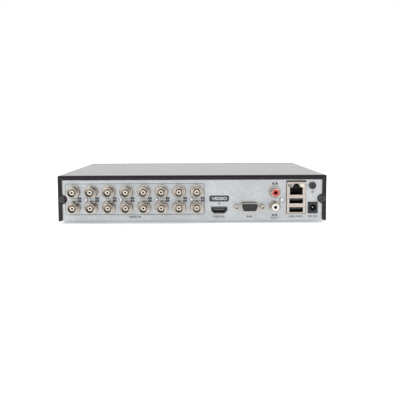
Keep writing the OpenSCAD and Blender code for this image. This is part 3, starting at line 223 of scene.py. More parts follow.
def tint_by_place(mat, axis, at, tone):
    """Gives a finish another tone past a plane across X, Y or Z."""
    split = add(mat, "ShaderNodeSeparateXYZ", {}, {"Vector": (node_of(mat, "ShaderNodeTexCoord"), "Object")})
    side = add(mat, "ShaderNodeMath", {"operation": "GREATER_THAN", 1: at}, {0: (split, axis)})
    mixed = add(mat, "ShaderNodeMix", {"data_type": "RGBA", 6: paint(tone)},
                {0: (side, "Value"), 7: (node_of(mat, "ShaderNodeValToRGB"), "Color")})
    mat.node_tree.links.new(mixed.outputs[2], node_of(mat, "ShaderNodeBsdfPrincipled").inputs["Base Color"])
    return side


def lamp_windows():
    # Milky polystyrene windows: the one towards the case's edge glows cream, the other is smoked grey
    mat = finish("milky_window", "#77797b", "#696b6d", (0.25, 0.4), 0.8, 0.0)
    tint_by_place(mat, "X", PORT["network_socket"].x, "#cfc8b8")
    return mat


def drawn_can():
    # Bare drawn aluminium above, the black moulded base of the capacitor below
    mat = finish("drawn_can", "#cfd1d4", "#b0b2b6", (0.25, 0.35), 0.4, 0.003, (1, 1, 0.08))
    side = tint_by_place(mat, "Z", BOARD_Z + 1.05 * MM, "#1d1d20")
    shader = node_of(mat, "ShaderNodeBsdfPrincipled")
    mat.node_tree.links.new(side.outputs["Value"], shader.inputs["Metallic"])
    return mat


def solder_mask(name, light, dark):
    # Green varnish over etched copper: tracks show as lighter lines that run both ways, with small vias
    mat = finish(name, light, dark, (0.22, 0.34), 1.2, 0.0, sockets={"Coat Weight": 0.3})
    place = node_of(mat, "ShaderNodeTexCoord")
    fields = add(mat, "ShaderNodeTexVoronoi", {"Scale": 1 / (9 * MM), "distance": "CHEBYCHEV"},
                 {"Vector": (place, "Object")})
    pick = add(mat, "ShaderNodeSeparateColor", {}, {"Color": (fields, "Color")})
    lines = [add(mat, "ShaderNodeTexWave", {"bands_direction": way, "Scale": BANDS / (0.8 * MM)},
                 {"Vector": (place, "Object")}) for way in ("X", "Y")]
    chosen = add(mat, "ShaderNodeMath", {"operation": "GREATER_THAN"}, {0: (pick, "Red")})
    field = add(mat, "ShaderNodeMix", {"data_type": "FLOAT"},
                {0: (chosen, "Value"), 2: (lines[0], "Fac"), 3: (lines[1], "Fac")})
    tracks = add(mat, "ShaderNodeValToRGB", {"stops": [(0.62, (0, 0, 0, 1)), (0.72, (1, 1, 1, 1))]},
                 {"Fac": (field, 0)})
    lit = add(mat, "ShaderNodeMix", {"data_type": "RGBA", 7: paint("#2f7a4c")},
              {0: (tracks, "Color"), 6: (node_of(mat, "ShaderNodeValToRGB"), "Color")})
    vias = add(mat, "ShaderNodeTexVoronoi", {"Scale": 1 / (3.4 * MM)}, {"Vector": (place, "Object")})
    ring = add(mat, "ShaderNodeValToRGB", {"stops": [(0.10, (1, 1, 1, 1)), (0.14, (0, 0, 0, 1))]},
               {"Fac": (vias, "Distance")})
    whole = add(mat, "ShaderNodeMix", {"data_type": "RGBA", 7: paint("#b9b08a")},
                {0: (ring, "Color"), 6: (lit, 2)})
    bump = add(mat, "ShaderNodeBump", {"Distance": 0.03 * MM, "Strength": 1.0}, {"Height": (tracks, "Color")})
    shader = node_of(mat, "ShaderNodeBsdfPrincipled")
    mat.node_tree.links.new(whole.outputs[2], shader.inputs["Base Color"])
    mat.node_tree.links.new(bump.outputs["Normal"], shader.inputs["Normal"])
    return mat


def make_finishes():
    """The finish of every material slot in the record."""
    return {
        # Powder coat on steel: near black, satin, with a fine orange peel
        "black_painted_steel": finish("black_powder_coat", "#150f16", "#0f0a10", (0.225, 0.235), 0.9, 0.002,
                                      sockets={"Specular IOR Level": 0.3}),
        "galvanised_steel": galvanised_sheet(),
        # Black zinc: dark metal with a slight brown cast, duller where the plating is thin
        "black_screw_steel": finish("black_zinc", "#5a5556", "#3c3839", (0.26, 0.4), 0.4, 0.004,
                                    metal=1.0, broad=3),
        # Bright zinc on steel screws: cool silver
        "bright_screw_steel": finish("bright_zinc", "#d9dadb", "#b4b6b8", (0.18, 0.32), 0.4, 0.003,
                                     metal=1.0, broad=3),
        # Moulded ABS with a spark-eroded texture
        "black_abs": finish("textured_abs", "#161617", "#101011", (0.48, 0.56), 0.45, 0.02,
                            sockets={"Specular IOR Level": 0.35}),
        # Polished acrylic, back-painted black
        "gloss_black_acrylic": finish("gloss_acrylic", "#08080a", "#050506", (0.05, 0.08), 3, 0.0,
                                      sockets={"IOR": 1.49, "Specular IOR Level": 0.4}),
        # Clear acrylic rod with frosted ends
        "clear_acrylic": finish("clear_acrylic", "#eef3f6", "#dfe6ea", (0.12, 0.25), 0.8, 0.006,
                                sockets={"Transmission Weight": 0.85, "IOR": 1.49}),
        "circuit_board": solder_mask("solder_mask", "#14613a", "#0f4f2e"),
        # Water-clear epoxy of a lamp, slightly green
        "lamp_epoxy": finish("lamp_epoxy", "#eaf3e4", "#d6e4cf", (0.08, 0.16), 0.8, 0.0,
                             sockets={"Transmission Weight": 0.6, "IOR": 1.54}),
        "lamp_window_plastic": lamp_windows(),
        # Moulded rubber: dull black with dust in its pores
        "black_rubber": finish("moulded_rubber", "#232323", "#161616", (0.75, 0.9), 0.5, 0.03),
        # Nickel-plated brass spacer
        "plated_brass": finish("plated_spacer", "#d2c9ac", "#b6ab8b", (0.2, 0.35), 0.3, 0.003,
                               metal=1.0, broad=4),
        # Glass-filled nylon of connectors: dull black with pale glass specks
        "connector_plastic_black": finish("filled_nylon", "#262628", "#17171a", (0.42, 0.58), 0.3, 0.012),
        "warm_nickel": turned_nickel(),
        # Tin-plated shield: light and warm, brushed along its length
        "shield_steel": finish("tin_plate", "#cbc3ba", "#b0a89e", (0.26, 0.38), 0.4, 0.004, (1, 0.1, 1), 1.0),
        # Gold flash over nickel
        "gold_plate": finish("gold_flash", "#e3bd62", "#c79c42", (0.16, 0.28), 0.3, 0.002,
                             metal=1.0, broad=3),
        # Acetal insulator: warm white, slightly translucent
        "insulator_cream": finish("acetal", "#dcd6c8", "#cbc4b4", (0.28, 0.4), 0.5, 0.003,
                                  sockets={"Subsurface Weight": 0.15, "Subsurface Scale": 0.001}),
        # Coloured polypropylene of the phono jacks
        "audio_red": finish("red_polypropylene", "#c04a42", "#a83c35", (0.22, 0.34), 0.6, 0.003),
        "audio_white": finish("white_polypropylene", "#dbd9d5", "#cbc8c3", (0.22, 0.34), 0.6, 0.003),
        # Moulded epoxy of chips: fine matt grain from the mould
        "chip_epoxy": finish("moulded_epoxy", "#242427", "#17171a", (0.5, 0.62), 0.25, 0.008),
        # Black anodised extrusion, drawn lines along the fins
        "heatsink_aluminium": finish("black_anodised", "#3a3c40", "#292b2e", (0.32, 0.42), 0.4, 0.006,
                                     (1, 0.06, 1), 1.0),
        "capacitor_can": drawn_can(),
        # Pressed ferrite: grey-black, granular
        "ferrite": finish("pressed_ferrite", "#3c3c3e", "#262628", (0.6, 0.75), 0.3, 0.02),
        # Polished stainless cell
        "cell_steel": finish("polished_cell", "#d8d7d3", "#bfbdb8", (0.1, 0.2), 1.5, 0.002, metal=1.0),
        # Natural nylon: yellowish white, waxy
        "socket_nylon": finish("natural_nylon", "#ebe5d0", "#d8d0b8", (0.35, 0.5), 0.5, 0.006,
                               sockets={"Subsurface Weight": 0.2, "Subsurface Scale": 0.001}),
        # Die-cast aluminium: matt grey with flow marks
        "cast_aluminium": finish("die_cast", "#a5a8ac", "#83868b", (0.42, 0.58), 0.7, 0.02, metal=1.0),
        # Satin stainless lid
        "drive_lid_steel": finish("satin_stainless", "#c6c8ca", "#b9bbbe", (0.31, 0.34), 0.3, 0.003,
                                  (0.05, 1, 1), 1.0),
        # Sputtered disc: a mirror
        "mirror_disc": finish("sputtered_disc", "#dcdde0", "#cfd0d4", (0.02, 0.05), 4, 0.0, metal=1.0),
        # Milled aluminium arm
        "arm_aluminium": finish("milled_arm", "#c9cbce", "#adafb3", (0.24, 0.36), 0.3, 0.006,
                                (0.1, 1, 1), 1.0),
        # Extruded cable sheaths: soft PVC with faint draw lines
        "red_cable": finish("red_sheath", "#b3231d", "#931a15", (0.35, 0.5), 0.6, 0.01),
        "yellow_cable": finish("yellow_sheath", "#d2a530", "#b98d22", (0.35, 0.5), 0.6, 0.01),
        "black_wire": finish("black_sheath", "#1d1d1f", "#131315", (0.35, 0.5), 0.6, 0.01),
        "white_wire": finish("white_sheath", "#eceae6", "#d9d6d0", (0.35, 0.5), 0.6, 0.01),
    }


# ---------- modelling helpers ----------

def fresh():
    """Object mode with nothing selected, so that the next operator acts only on what it adds."""
    if bpy.context.object and bpy.context.object.mode != "OBJECT":
        bpy.ops.object.mode_set(mode="OBJECT")
    bpy.ops.object.select_all(action="DESELECT")


def edit(piece):
    """Edit mode on one piece with all of it selected."""
    fresh()
    bpy.context.view_layer.objects.active = piece
    piece.select_set(True)
    bpy.ops.object.mode_set(mode="EDIT")
    bpy.ops.mesh.select_all(action="SELECT")


def place(piece, matrix):
    """Puts a piece where the matrix says, with its place in its mesh."""
    piece.data.transform(matrix @ piece.matrix_world)
    piece.matrix_world = Matrix.Identity(4)
    piece.data.update()
    return piece


def plate(size, corner=0.0, thick=PRINT, line=0.0, steps=5):
    """Flat plate on z = 0 with round corners, centred; a line width makes it a frame of that line."""
    fresh()
    bpy.ops.mesh.primitive_plane_add(size=1)
    piece = bpy.context.object
    piece.scale = (size[0], size[1], 1)
    bpy.ops.object.transform_apply(location=False, rotation=False, scale=True)
    edit(piece)
    if corner:
        bpy.ops.mesh.bevel(offset=corner, segments=steps, affect="VERTICES")
    if line:
        bpy.ops.mesh.inset(thickness=line)
        bpy.ops.mesh.delete(type="ONLY_FACE")
        bpy.ops.mesh.select_all(action="SELECT")
    bpy.ops.mesh.extrude_region_move(TRANSFORM_OT_translate={"value": (0, 0, thick)})
    bpy.ops.mesh.select_all(action="SELECT")
    bpy.ops.mesh.normals_make_consistent(inside=False)
    fresh()
    return piece


def block(low, high, edge=0.0, steps=2):
    """Box between two corners with its edges rounded."""
    fresh()
    low, high = Vector(low), Vector(high)
    bpy.ops.mesh.primitive_cube_add(size=1, location=(low + high) / 2)
    piece = bpy.context.object
    piece.scale = high - low
    bpy.ops.object.transform_apply(location=True, rotation=True, scale=True)
    if edge:
        edit(piece)
        bpy.ops.mesh.bevel(offset=edge, segments=steps, affect="EDGES")
    fresh()
    return piece


def copy_to(piece, matrix):
    """Copy with its own mesh, moved by the matrix."""
    twin = bpy.data.objects.new(piece.name, piece.data.copy())
    bpy.context.scene.collection.objects.link(twin)
    return place(twin, matrix)


def joined(pieces):
    """One piece made of several."""
    fresh()
    for piece in pieces:
        piece.select_set(True)
    bpy.context.view_layer.objects.active = pieces[0]
    if len(pieces) > 1:
        bpy.ops.object.join()
    return pieces[0]


def writing(body, height, width=0.0, weight=0.0):
    """Flat mesh of plain words or a number, centred on the origin and stretched to a width."""
    fresh()
    bpy.ops.object.text_add()
    piece = bpy.context.object
    piece.data.body, piece.data.size, piece.data.extrude = body, height / CAPITAL, PRINT / 2
    piece.data.resolution_u, piece.data.offset = 3, weight
    bpy.ops.object.convert(target="MESH")
    piece = bpy.context.object
    edit(piece)
    bpy.ops.mesh.remove_doubles(threshold=SAME)
    fresh()
    low = [min(v.co[i] for v in piece.data.vertices) for i in range(3)]
    high = [max(v.co[i] for v in piece.data.vertices) for i in range(3)]
    stretch = width / (high[0] - low[0]) if width else 1.0
    middle = Vector([-(a + b) / 2 for a, b in zip(low, high)])
    piece.data.transform(Matrix.Diagonal((stretch, 1, 1, 1)) @ Matrix.Translation(middle))
    piece.data.transform(Matrix.Translation((0, 0, PRINT / 2)))
    return piece


def sign(bars):
    """Symbol drawn with straight bars: centre, size and turn in degrees, all lengths in mm."""
    parts = []
    for x, y, w, h, turn in bars:
        bar = plate((w * MM, h * MM), min(w, h) * 0.2 * MM, steps=2)
        parts.append(place(bar, at(x * MM, y * MM, 0, turn)))
    return joined(parts)


def repeat(model, spots, name, mat):
    """One piece made of copies of a model at the given matrices."""
    copies = [copy_to(model, spot) for spot in spots]
    bpy.data.objects.remove(model)
    return keep(joined(copies), name, mat)


def at(x, y, z, turn=0.0):
    """Matrix of a place and a turn about Z in degrees."""
    return Matrix.Translation((x, y, z)) @ Matrix.Rotation(math.radians(turn), 4, "Z")


def ring(outer, inner, height, sides=32):
    """Tube standing on z = 0."""
    fresh()
    bpy.ops.mesh.primitive_circle_add(radius=outer, vertices=sides, fill_type="NGON")
    piece = bpy.context.object
    edit(piece)
    bpy.ops.mesh.inset(thickness=outer - inner)
    bpy.ops.mesh.delete(type="FACE")
    bpy.ops.mesh.select_all(action="SELECT")
    bpy.ops.mesh.extrude_region_move(TRANSFORM_OT_translate={"value": (0, 0, height)})
    bpy.ops.mesh.select_all(action="SELECT")
    bpy.ops.mesh.normals_make_consistent(inside=False)
    fresh()
    return piece


def disc(radius, height, edge=0.0, sides=32):
    """Round plate on z = 0 with its top edge eased."""
    fresh()
    bpy.ops.mesh.primitive_circle_add(radius=radius, vertices=sides, fill_type="NGON")
    piece = bpy.context.object
    edit(piece)
    bpy.ops.mesh.extrude_region_move(TRANSFORM_OT_translate={"value": (0, 0, height - edge)})
    if edge:
        bpy.ops.mesh.extrude_region_move(TRANSFORM_OT_translate={"value": (0, 0, edge)})
        bpy.ops.transform.resize(value=(1 - edge / radius, 1 - edge / radius, 1),
                                 center_override=(0, 0, height))
    bpy.ops.mesh.select_all(action="SELECT")
    bpy.ops.mesh.normals_make_consistent(inside=False)
    fresh()
    return piece


def strip(path, width, thick):
    """Bent metal strip across X, through points of Y and Z."""
    fresh()
    bpy.ops.mesh.primitive_plane_add(size=1)
    piece = bpy.context.object
    corners = ((-1, path[0]), (1, path[0]), (-1, path[1]), (1, path[1]))
    for v, (x, (y, z)) in zip(piece.data.vertices, corners):
        v.co = (x * width / 2, y, z)
    for (y0, z0), (y1, z1) in zip(path[1:], path[2:]):
        edit(piece)
        bpy.ops.object.mode_set(mode="OBJECT")
        for v in piece.data.vertices:
            v.select = abs(v.co.y - y0) < SAME and abs(v.co.z - z0) < SAME
        for e in piece.data.edges:
            e.select = all(piece.data.vertices[i].select for i in e.vertices)
        for f in piece.data.polygons:
            f.select = False
        bpy.ops.object.mode_set(mode="EDIT")
        bpy.ops.mesh.extrude_edges_move(TRANSFORM_OT_translate={"value": (0, y1 - y0, z1 - z0)})
    edit(piece)
    bpy.ops.mesh.normals_make_consistent(inside=False)
    fresh()
    bpy.context.view_layer.objects.active = piece
    wall = piece.modifiers.new("wall", "SOLIDIFY")
    wall.thickness, wall.offset, wall.use_even_offset = thick, 0, True
    bpy.ops.object.modifier_apply(modifier=wall.name)
    return piece


def islands(name):
    """Low and high corners of each separate solid in a CAD node."""
    mesh = NODES[name].data
    keys = [tuple(round(c, 6) for c in v.co) for v in mesh.vertices]
    leader = {key: key for key in keys}

    def top(key):
        while leader[key] != key:
            leader[key] = leader[leader[key]]
            key = leader[key]
        return key

    for face in mesh.polygons:
        for v in face.vertices[1:]:
            leader[top(keys[v])] = top(keys[face.vertices[0]])
    groups = {}
    for key in leader:
        groups.setdefault(top(key), []).append(key)
    boxes = [([min(c) for c in zip(*g)], [max(c) for c in zip(*g)]) for g in groups.values()]
    return [(Vector(low), Vector(high)) for low, high in sorted(boxes)]


def rear(x, z, lift=0.0):
    """Matrix that stands a flat piece on the rear panel at row x and z."""
    return Matrix.Translation((x, PANEL_Y + lift, z)) @ TO_REAR


def keep(piece, name, mat, body="case"):
    """Names a finished piece and gives it its material and its body."""
    piece.name = piece.data.name = name
    piece.data.materials.clear()
    piece.data.materials.append(mat)
    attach(piece, body)
    return piece


# ---------- printing on the rear panel ----------

PLATE_SIZE = (3.7 * MM, 2.1 * MM)
PLATE_ASIDE, PLATE_UP = 5.8 * MM, 1.3 * MM       # from the jack, and from the middle between the rows
FRAME_X = (-12.0 * MM, 122.9 * MM)               # ends of the frame round the jacks
FRAME_Z = (6.2 * MM, 36.8 * MM)                  # its foot and top above the case's underside


def inks():
    """Screen-printed enamel ink: dull, with the mesh's faint grain."""
    return {"dark": finish("dark_screen_ink", "#3a3a3d", "#2f2f32", (0.5, 0.6), 0.4),
            "pale": finish("pale_screen_ink", "#bcbec0", "#afb2b4", (0.5, 0.6), 0.4),
            "grey": finish("grey_screen_ink", "#83888b", "#767b7e", (0.5, 0.6), 0.4),
            "white": finish("white_board_ink", "#e9ebe6", "#dcdfd8", (0.45, 0.55), 0.3)}


def number_plates():
    """A dark plate with a light number beside each video jack, in pairs between the two rows."""
    middle = (PORT["video_in_01"].z + PORT["video_in_09"].z) / 2
    plates, numbers = [], []
    for n in range(1, 17):
        jack = PORT[f"video_in_{n:02d}"]
        x = jack.x - PLATE_ASIDE
        z = middle + (PLATE_UP if jack.z > middle else -PLATE_UP)
        plates.append(rear(x, z))
        numbers.append(place(writing(str(n), 1.2 * MM), rear(x, z, PRINT)))
    repeat(plate(PLATE_SIZE, 0.5 * MM), plates, "number_plates", INK["dark"])
    keep(joined(numbers), "number_print", INK["pale"])


def video_outline():
    """Rounded frame printed round all the video jacks."""
    (x0, x1), (z0, z1) = FRAME_X, (FLOOR_Z + z for z in FRAME_Z)
    line = plate((x1 - x0, z1 - z0), 2.4 * MM, line=0.7 * MM, steps=8)
    keep(place(line, rear((x0 + x1) / 2, (z0 + z1) / 2)), "jack_outline", INK["grey"])


# Bars of each sign: centre, size and turn, for sign()
EARTH_SIGN = [(0, 1.0, 0.4, 1.8, 0), (0, 0.1, 3.4, 0.4, 0), (0, -0.65, 2.1, 0.4, 0), (0, -1.4, 0.9, 0.4, 0)]
DROP_SIGN = [(0, 0.5, 0.6, 1.0, 0), (-0.5, -0.35, 0.55, 1.6, 38), (0.5, -0.35, 0.55, 1.6, -38)]
POWER_SIGN = [(0, 0.7, 0.3, 1.1, 0), (-0.75, 0.2, 0.3, 1.0, -20), (0.75, 0.2, 0.3, 1.0, 20),
              (-0.55, -0.75, 0.3, 0.9, 40), (0.55, -0.75, 0.3, 0.9, -40), (0, -1.05, 0.8, 0.3, 0)]
DISK_SIGN = [(0, 0.8, 2.2, 0.3, 0), (0, -0.9, 2.2, 0.3, 0), (-1.05, 0, 0.3, 1.7, 0), (1.05, 0, 0.3, 1.7, 0),
             (0.5, -0.4, 0.5, 0.3, 0)]
NET_SIGN = [(0, 0.8, 0.9, 0.8, 0), (-1.2, -0.9, 0.8, 0.8, 0), (1.2, -0.9, 0.8, 0.8, 0),
            (0, 0.1, 0.25, 0.9, 0), (0, -0.25, 2.6, 0.25, 0), (-1.2, -0.5, 0.25, 0.6, 0), (1.2, -0.5, 0.25, 0.6, 0)]


def socket_words():
    """Plain words and signs under and beside the sockets: what each is for."""
    low = FLOOR_Z + 4.2 * MM
    net, mon, digital = PORT["network_socket"].x, PORT["monitor_socket"].x, PORT["digital_video_socket"].x
    audio, power, earth = PORT["audio_in_socket"].x, PORT["power_socket"].x, PORT["ground_terminal"]
    above, below, pill = FLOOR_Z + 36.1 * MM, FLOOR_Z + 5.5 * MM, FLOOR_Z + 21.75 * MM
    dark = [("VIDEO IN", 11.5, 55.5 * MM, low), ("DIGITAL", 10.8, digital, low), ("RGB", 5.0, mon, low),
            ("AUDIO", 8.0, audio, FLOOR_Z + 2.9 * MM), ("LAN / DATA", 13.0, net, low),
            ("DC 12V", 8.6, power, low)]
    words = [place(writing(text, 1.7 * MM, wide * MM, 0.07 * MM), rear(x, z)) for text, wide, x, z in dark]
    signs = [(EARTH_SIGN, earth.x, earth.z - 6.2 * MM), (DROP_SIGN, digital, FLOOR_Z + 17.1 * MM)]
    words += [place(sign(bars), rear(x, z)) for bars, x, z in signs]
    keep(joined(words), "socket_words", INK["dark"])
    fields = [((5.3, 2.1), audio, above), ((5.3, 1.9), audio, below), ((19.2, 6.1), digital, pill)]
    keep(joined([place(plate((w * MM, h * MM), h * 0.28 * MM), rear(x, z)) for (w, h), x, z in fields]),
         "word_fields", INK["dark"])
    light = [("IN", 1.3, 2.0, audio, above), ("OUT", 1.2, 3.3, audio, below),
             ("VIDEO", 2.6, 14.8, digital, pill)]
    keep(joined([place(writing(text, high * MM, wide * MM, 0.05 * high * MM), rear(x, z, PRINT))
                 for text, high, wide, x, z in light]), "field_words", INK["pale"])


def front_signs():
    """Small signs above the three indicators."""
    signs = []
    lamps = [(low + high) / 2 for low, high in islands("light_pipes")]
    for lamp, bars in zip(sorted(lamps, key=lambda v: -v.x), (POWER_SIGN, DISK_SIGN, NET_SIGN)):
        spot = Matrix.Translation((lamp.x, LOW["bezel_strip"].y, lamp.z + 3.4 * MM)) @ TO_FRONT
        signs.append(place(sign(bars), spot))
    keep(joined(signs), "front_signs", INK["grey"])


# ---------- rear sockets ----------

PIN_PITCH, PIN_ROWS, PIN_STAGGER = 2.29, 1.98, 0.4   # contacts of the monitor socket, in mm

def spot_welds():
    """Faint round marks where the panel's top lip is welded behind it."""
    spots = [rear(x * MM, FLOOR_Z + 39.6 * MM) for x in (57, -27)]
    repeat(disc(1.5 * MM, 0.05 * MM, 0.04 * MM, 24), spots, "spot_welds", FINISH["galvanised_steel"])


def shield_springs():
    """Spring fingers that press the sockets' shield against the panel's cut-out."""
    low, high = LOW["network_socket_shield"], HIGH["network_socket_shield"]
    y, z = PANEL_Y, high.z
    path = [(y - 8 * MM, z + 0.1 * MM), (y - 5 * MM, z + 0.25 * MM), (y - 1.8 * MM, z + 1.05 * MM),
            (y - 0.9 * MM, z + 1.0 * MM), (y - 0.2 * MM, z + 0.45 * MM), (y + 0.6 * MM, z + 0.15 * MM)]
    middle = (low.x + high.x) / 2
    spots = [at(middle + x * MM, 0, 0) for x in (-6.2, -3.1, 0, 3.1, 6.2)]
    repeat(strip(path, 1.9 * MM, 0.15 * MM), spots, "shield_springs", FINISH["shield_steel"])


def contact_rims():
    """Painted shade: a near-black ring round each video jack's contact hole, at the insulator's nose."""
    nose = HIGH["video_jack_insulators"].y
    spots = [Matrix.Translation((jack.x, nose, jack.z)) @ TO_REAR
             for name, jack in PORT.items() if name.startswith("video_in")]
    repeat(ring(1.05 * MM, 0.66 * MM, PRINT, 16), spots, "contact_rims", IN_SHADE)


def socket_contacts():
    """Gold contact strips on the tongues of the data and digital video sockets."""
    strips = []
    for low, high in islands("data_socket_tongues"):
        middle = (low.x + high.x) / 2
        for x in (-3.5, -1.0, 1.0, 3.5):
            lip = 1.0 * MM if abs(x) > 2 else 1.8 * MM
            strips.append(block((middle + (x - 0.55) * MM, low.y + 1 * MM, low.z - 0.12 * MM),
                                (middle + (x + 0.55) * MM, high.y - lip, low.z + 0.05 * MM), 0.04 * MM, 1))
    low, high = LOW["digital_video_tongue"], HIGH["digital_video_tongue"]
    tongue_z = (PORT["digital_video_socket"].z - 0.1 * MM, PORT["digital_video_socket"].z + 1.4 * MM)
    middle = (low.x + high.x) / 2
    for side, count in ((0, 9), (1, 10)):
        for i in range(count):
            x, z = middle + (i - (count - 1) / 2) * 1.0 * MM, tongue_z[side]
            strips.append(block((x - 0.2 * MM, high.y - 7 * MM, z - 0.05 * MM),
                                (x + 0.2 * MM, high.y - 0.6 * MM, z + 0.05 * MM), 0.02 * MM, 1))
    keep(joined(strips), "tongue_contacts", FINISH["gold_plate"])
    face, drop = PORT["monitor_socket"], HIGH["monitor_socket_insert"].y - 1.6 * MM
    spots = [Matrix.Translation((face.x - (i * PIN_PITCH - row * PIN_STAGGER) * MM, drop,
                                 face.z + row * PIN_ROWS * MM)) @ TO_REAR
             for row in (-1, 0, 1) for i in range(-2, 3)]
    # Painted shade: gold sleeves seen down narrow holes, darkened to a dull brown
    sleeve_shade = finish("gold_sleeves_painted_shade", "#5b5346", "#463f35", (0.35, 0.45), 0.3)
    repeat(ring(0.5 * MM, 0.28 * MM, 1.0 * MM, 12), spots, "monitor_contacts", sleeve_shade)


# ---------- inside the case ----------

LEG_PITCH = 0.8 * MM                             # legs of the flat packs
CIRCUIT_LEG_PITCH = 1.27 * MM
CIRCUIT_TRIES, ROW_TRIES = 16, 95                # random places tried for small circuits and rows of chips
PART_GAP, PART_MARGIN = 0.4 * MM, 0.5 * MM       # between small parts, and from them to the larger ones
UNDER_COVER = FLOOR_Z + 42.5 * MM                # just below the cover's top


def chip_legs():
    """Tinned legs round the flat packs."""
    spots = []
    for low, high in islands("video_chips"):
        middle = (low + high) / 2
        for way, half, reach in (("x", (high.x - low.x) / 2, high.y - low.y),
                                 ("y", (high.y - low.y) / 2, high.x - low.x)):
            count = int((2 * half - 2.6 * MM) / LEG_PITCH)
            for side in (-1, 1):
                for i in range(count):
                    along = (i - (count - 1) / 2) * LEG_PITCH
                    out = side * (reach / 2 - 0.5 * MM)
                    turn = (0 if side > 0 else 180) if way == "x" else (-90 if side > 0 else 90)
                    x, y = (along, out) if way == "x" else (out, along)
                    spots.append(at(middle.x + x, middle.y + y, low.z, turn))
    leg = strip([(-0.5 * MM, 0.75 * MM), (-0.2 * MM, 0.72 * MM), (0.0, 0.36 * MM), (0.52 * MM, 0.34 * MM)],
                0.36 * MM, 0.08 * MM)
    repeat(leg, spots, "chip_legs", FINISH["bright_screw_steel"])


def capacitor_marks():
    """Black segment on each can that marks its negative side, and thin black strips of painted shade along the
    score lines of its vent.
    """
    marks, scores = [], []
    for low, high in islands("capacitors"):
        middle = (low + high) / 2
        marks.append(at(middle.x, middle.y, high.z))
        scores += [at(middle.x, middle.y, high.z, turn) for turn in (20, 110)]
    segment = disc(2.95 * MM, PRINT)
    edit(segment)
    bpy.ops.mesh.bisect(plane_co=(-1.4 * MM, 0, 0), plane_no=(1, 0, 0), use_fill=True, clear_outer=True)
    fresh()
    repeat(segment, marks, "capacitor_marks", INK["dark"])
    # Painted shade: the vent's stamped grooves drawn as thin black strips
    groove_shade = plate((4.2 * MM, 0.16 * MM), 0.05 * MM, 0.06 * MM, steps=1)
    repeat(groove_shade, scores, "vent_groove_shade", FINISH["chip_epoxy"])


def board_print():
    """White frames and reference marks round the board's parts."""
    frames = []
    for name in ("memory_chips", "video_chips", "power_coils", "capacitors", "board_sockets", "processor"):
        for low, high in islands(name):
            middle, size = (low + high) / 2, high - low
            if low.z > BOARD_Z + 1 * MM or size.x > 40 * MM:
                continue
            frame_print = plate((size.x + 1.2 * MM, size.y + 1.2 * MM), 0.5 * MM, line=0.18 * MM, steps=2)
            frames.append(place(frame_print, at(middle.x, middle.y, BOARD_Z)))
            dot = disc(0.35 * MM, PRINT, sides=12)
            frames.append(place(dot, at(low.x - 1.3 * MM, high.y + 0.4 * MM, BOARD_Z)))
    keep(joined(frames), "board_print", INK["white"])
    values = [place(writing("220", 1.9 * MM), at((low.x + high.x) / 2, (low.y + high.y) / 2, high.z))
              for low, high in islands("power_coils")]
    keep(joined(values), "coil_values", INK["pale"])


def free_of_parts(x, y, half_x, half_y):
    """Whether a small part fits on the main board at x, y with nothing above it."""
    graph = bpy.context.evaluated_depsgraph_get()
    board = NODES["main_board"]
    for dx in (-1, -0.33, 0.33, 1):
        for dy in (-1, -0.33, 0.33, 1):
            start = Vector((x + dx * half_x, y + dy * half_y, UNDER_COVER))
            hit, point, _, _, seen, _ = bpy.context.scene.ray_cast(graph, start, (0, 0, -1))
            if not hit or seen.name != board.name or abs(point.z - BOARD_Z) > 0.01 * MM:
                return False
    return True


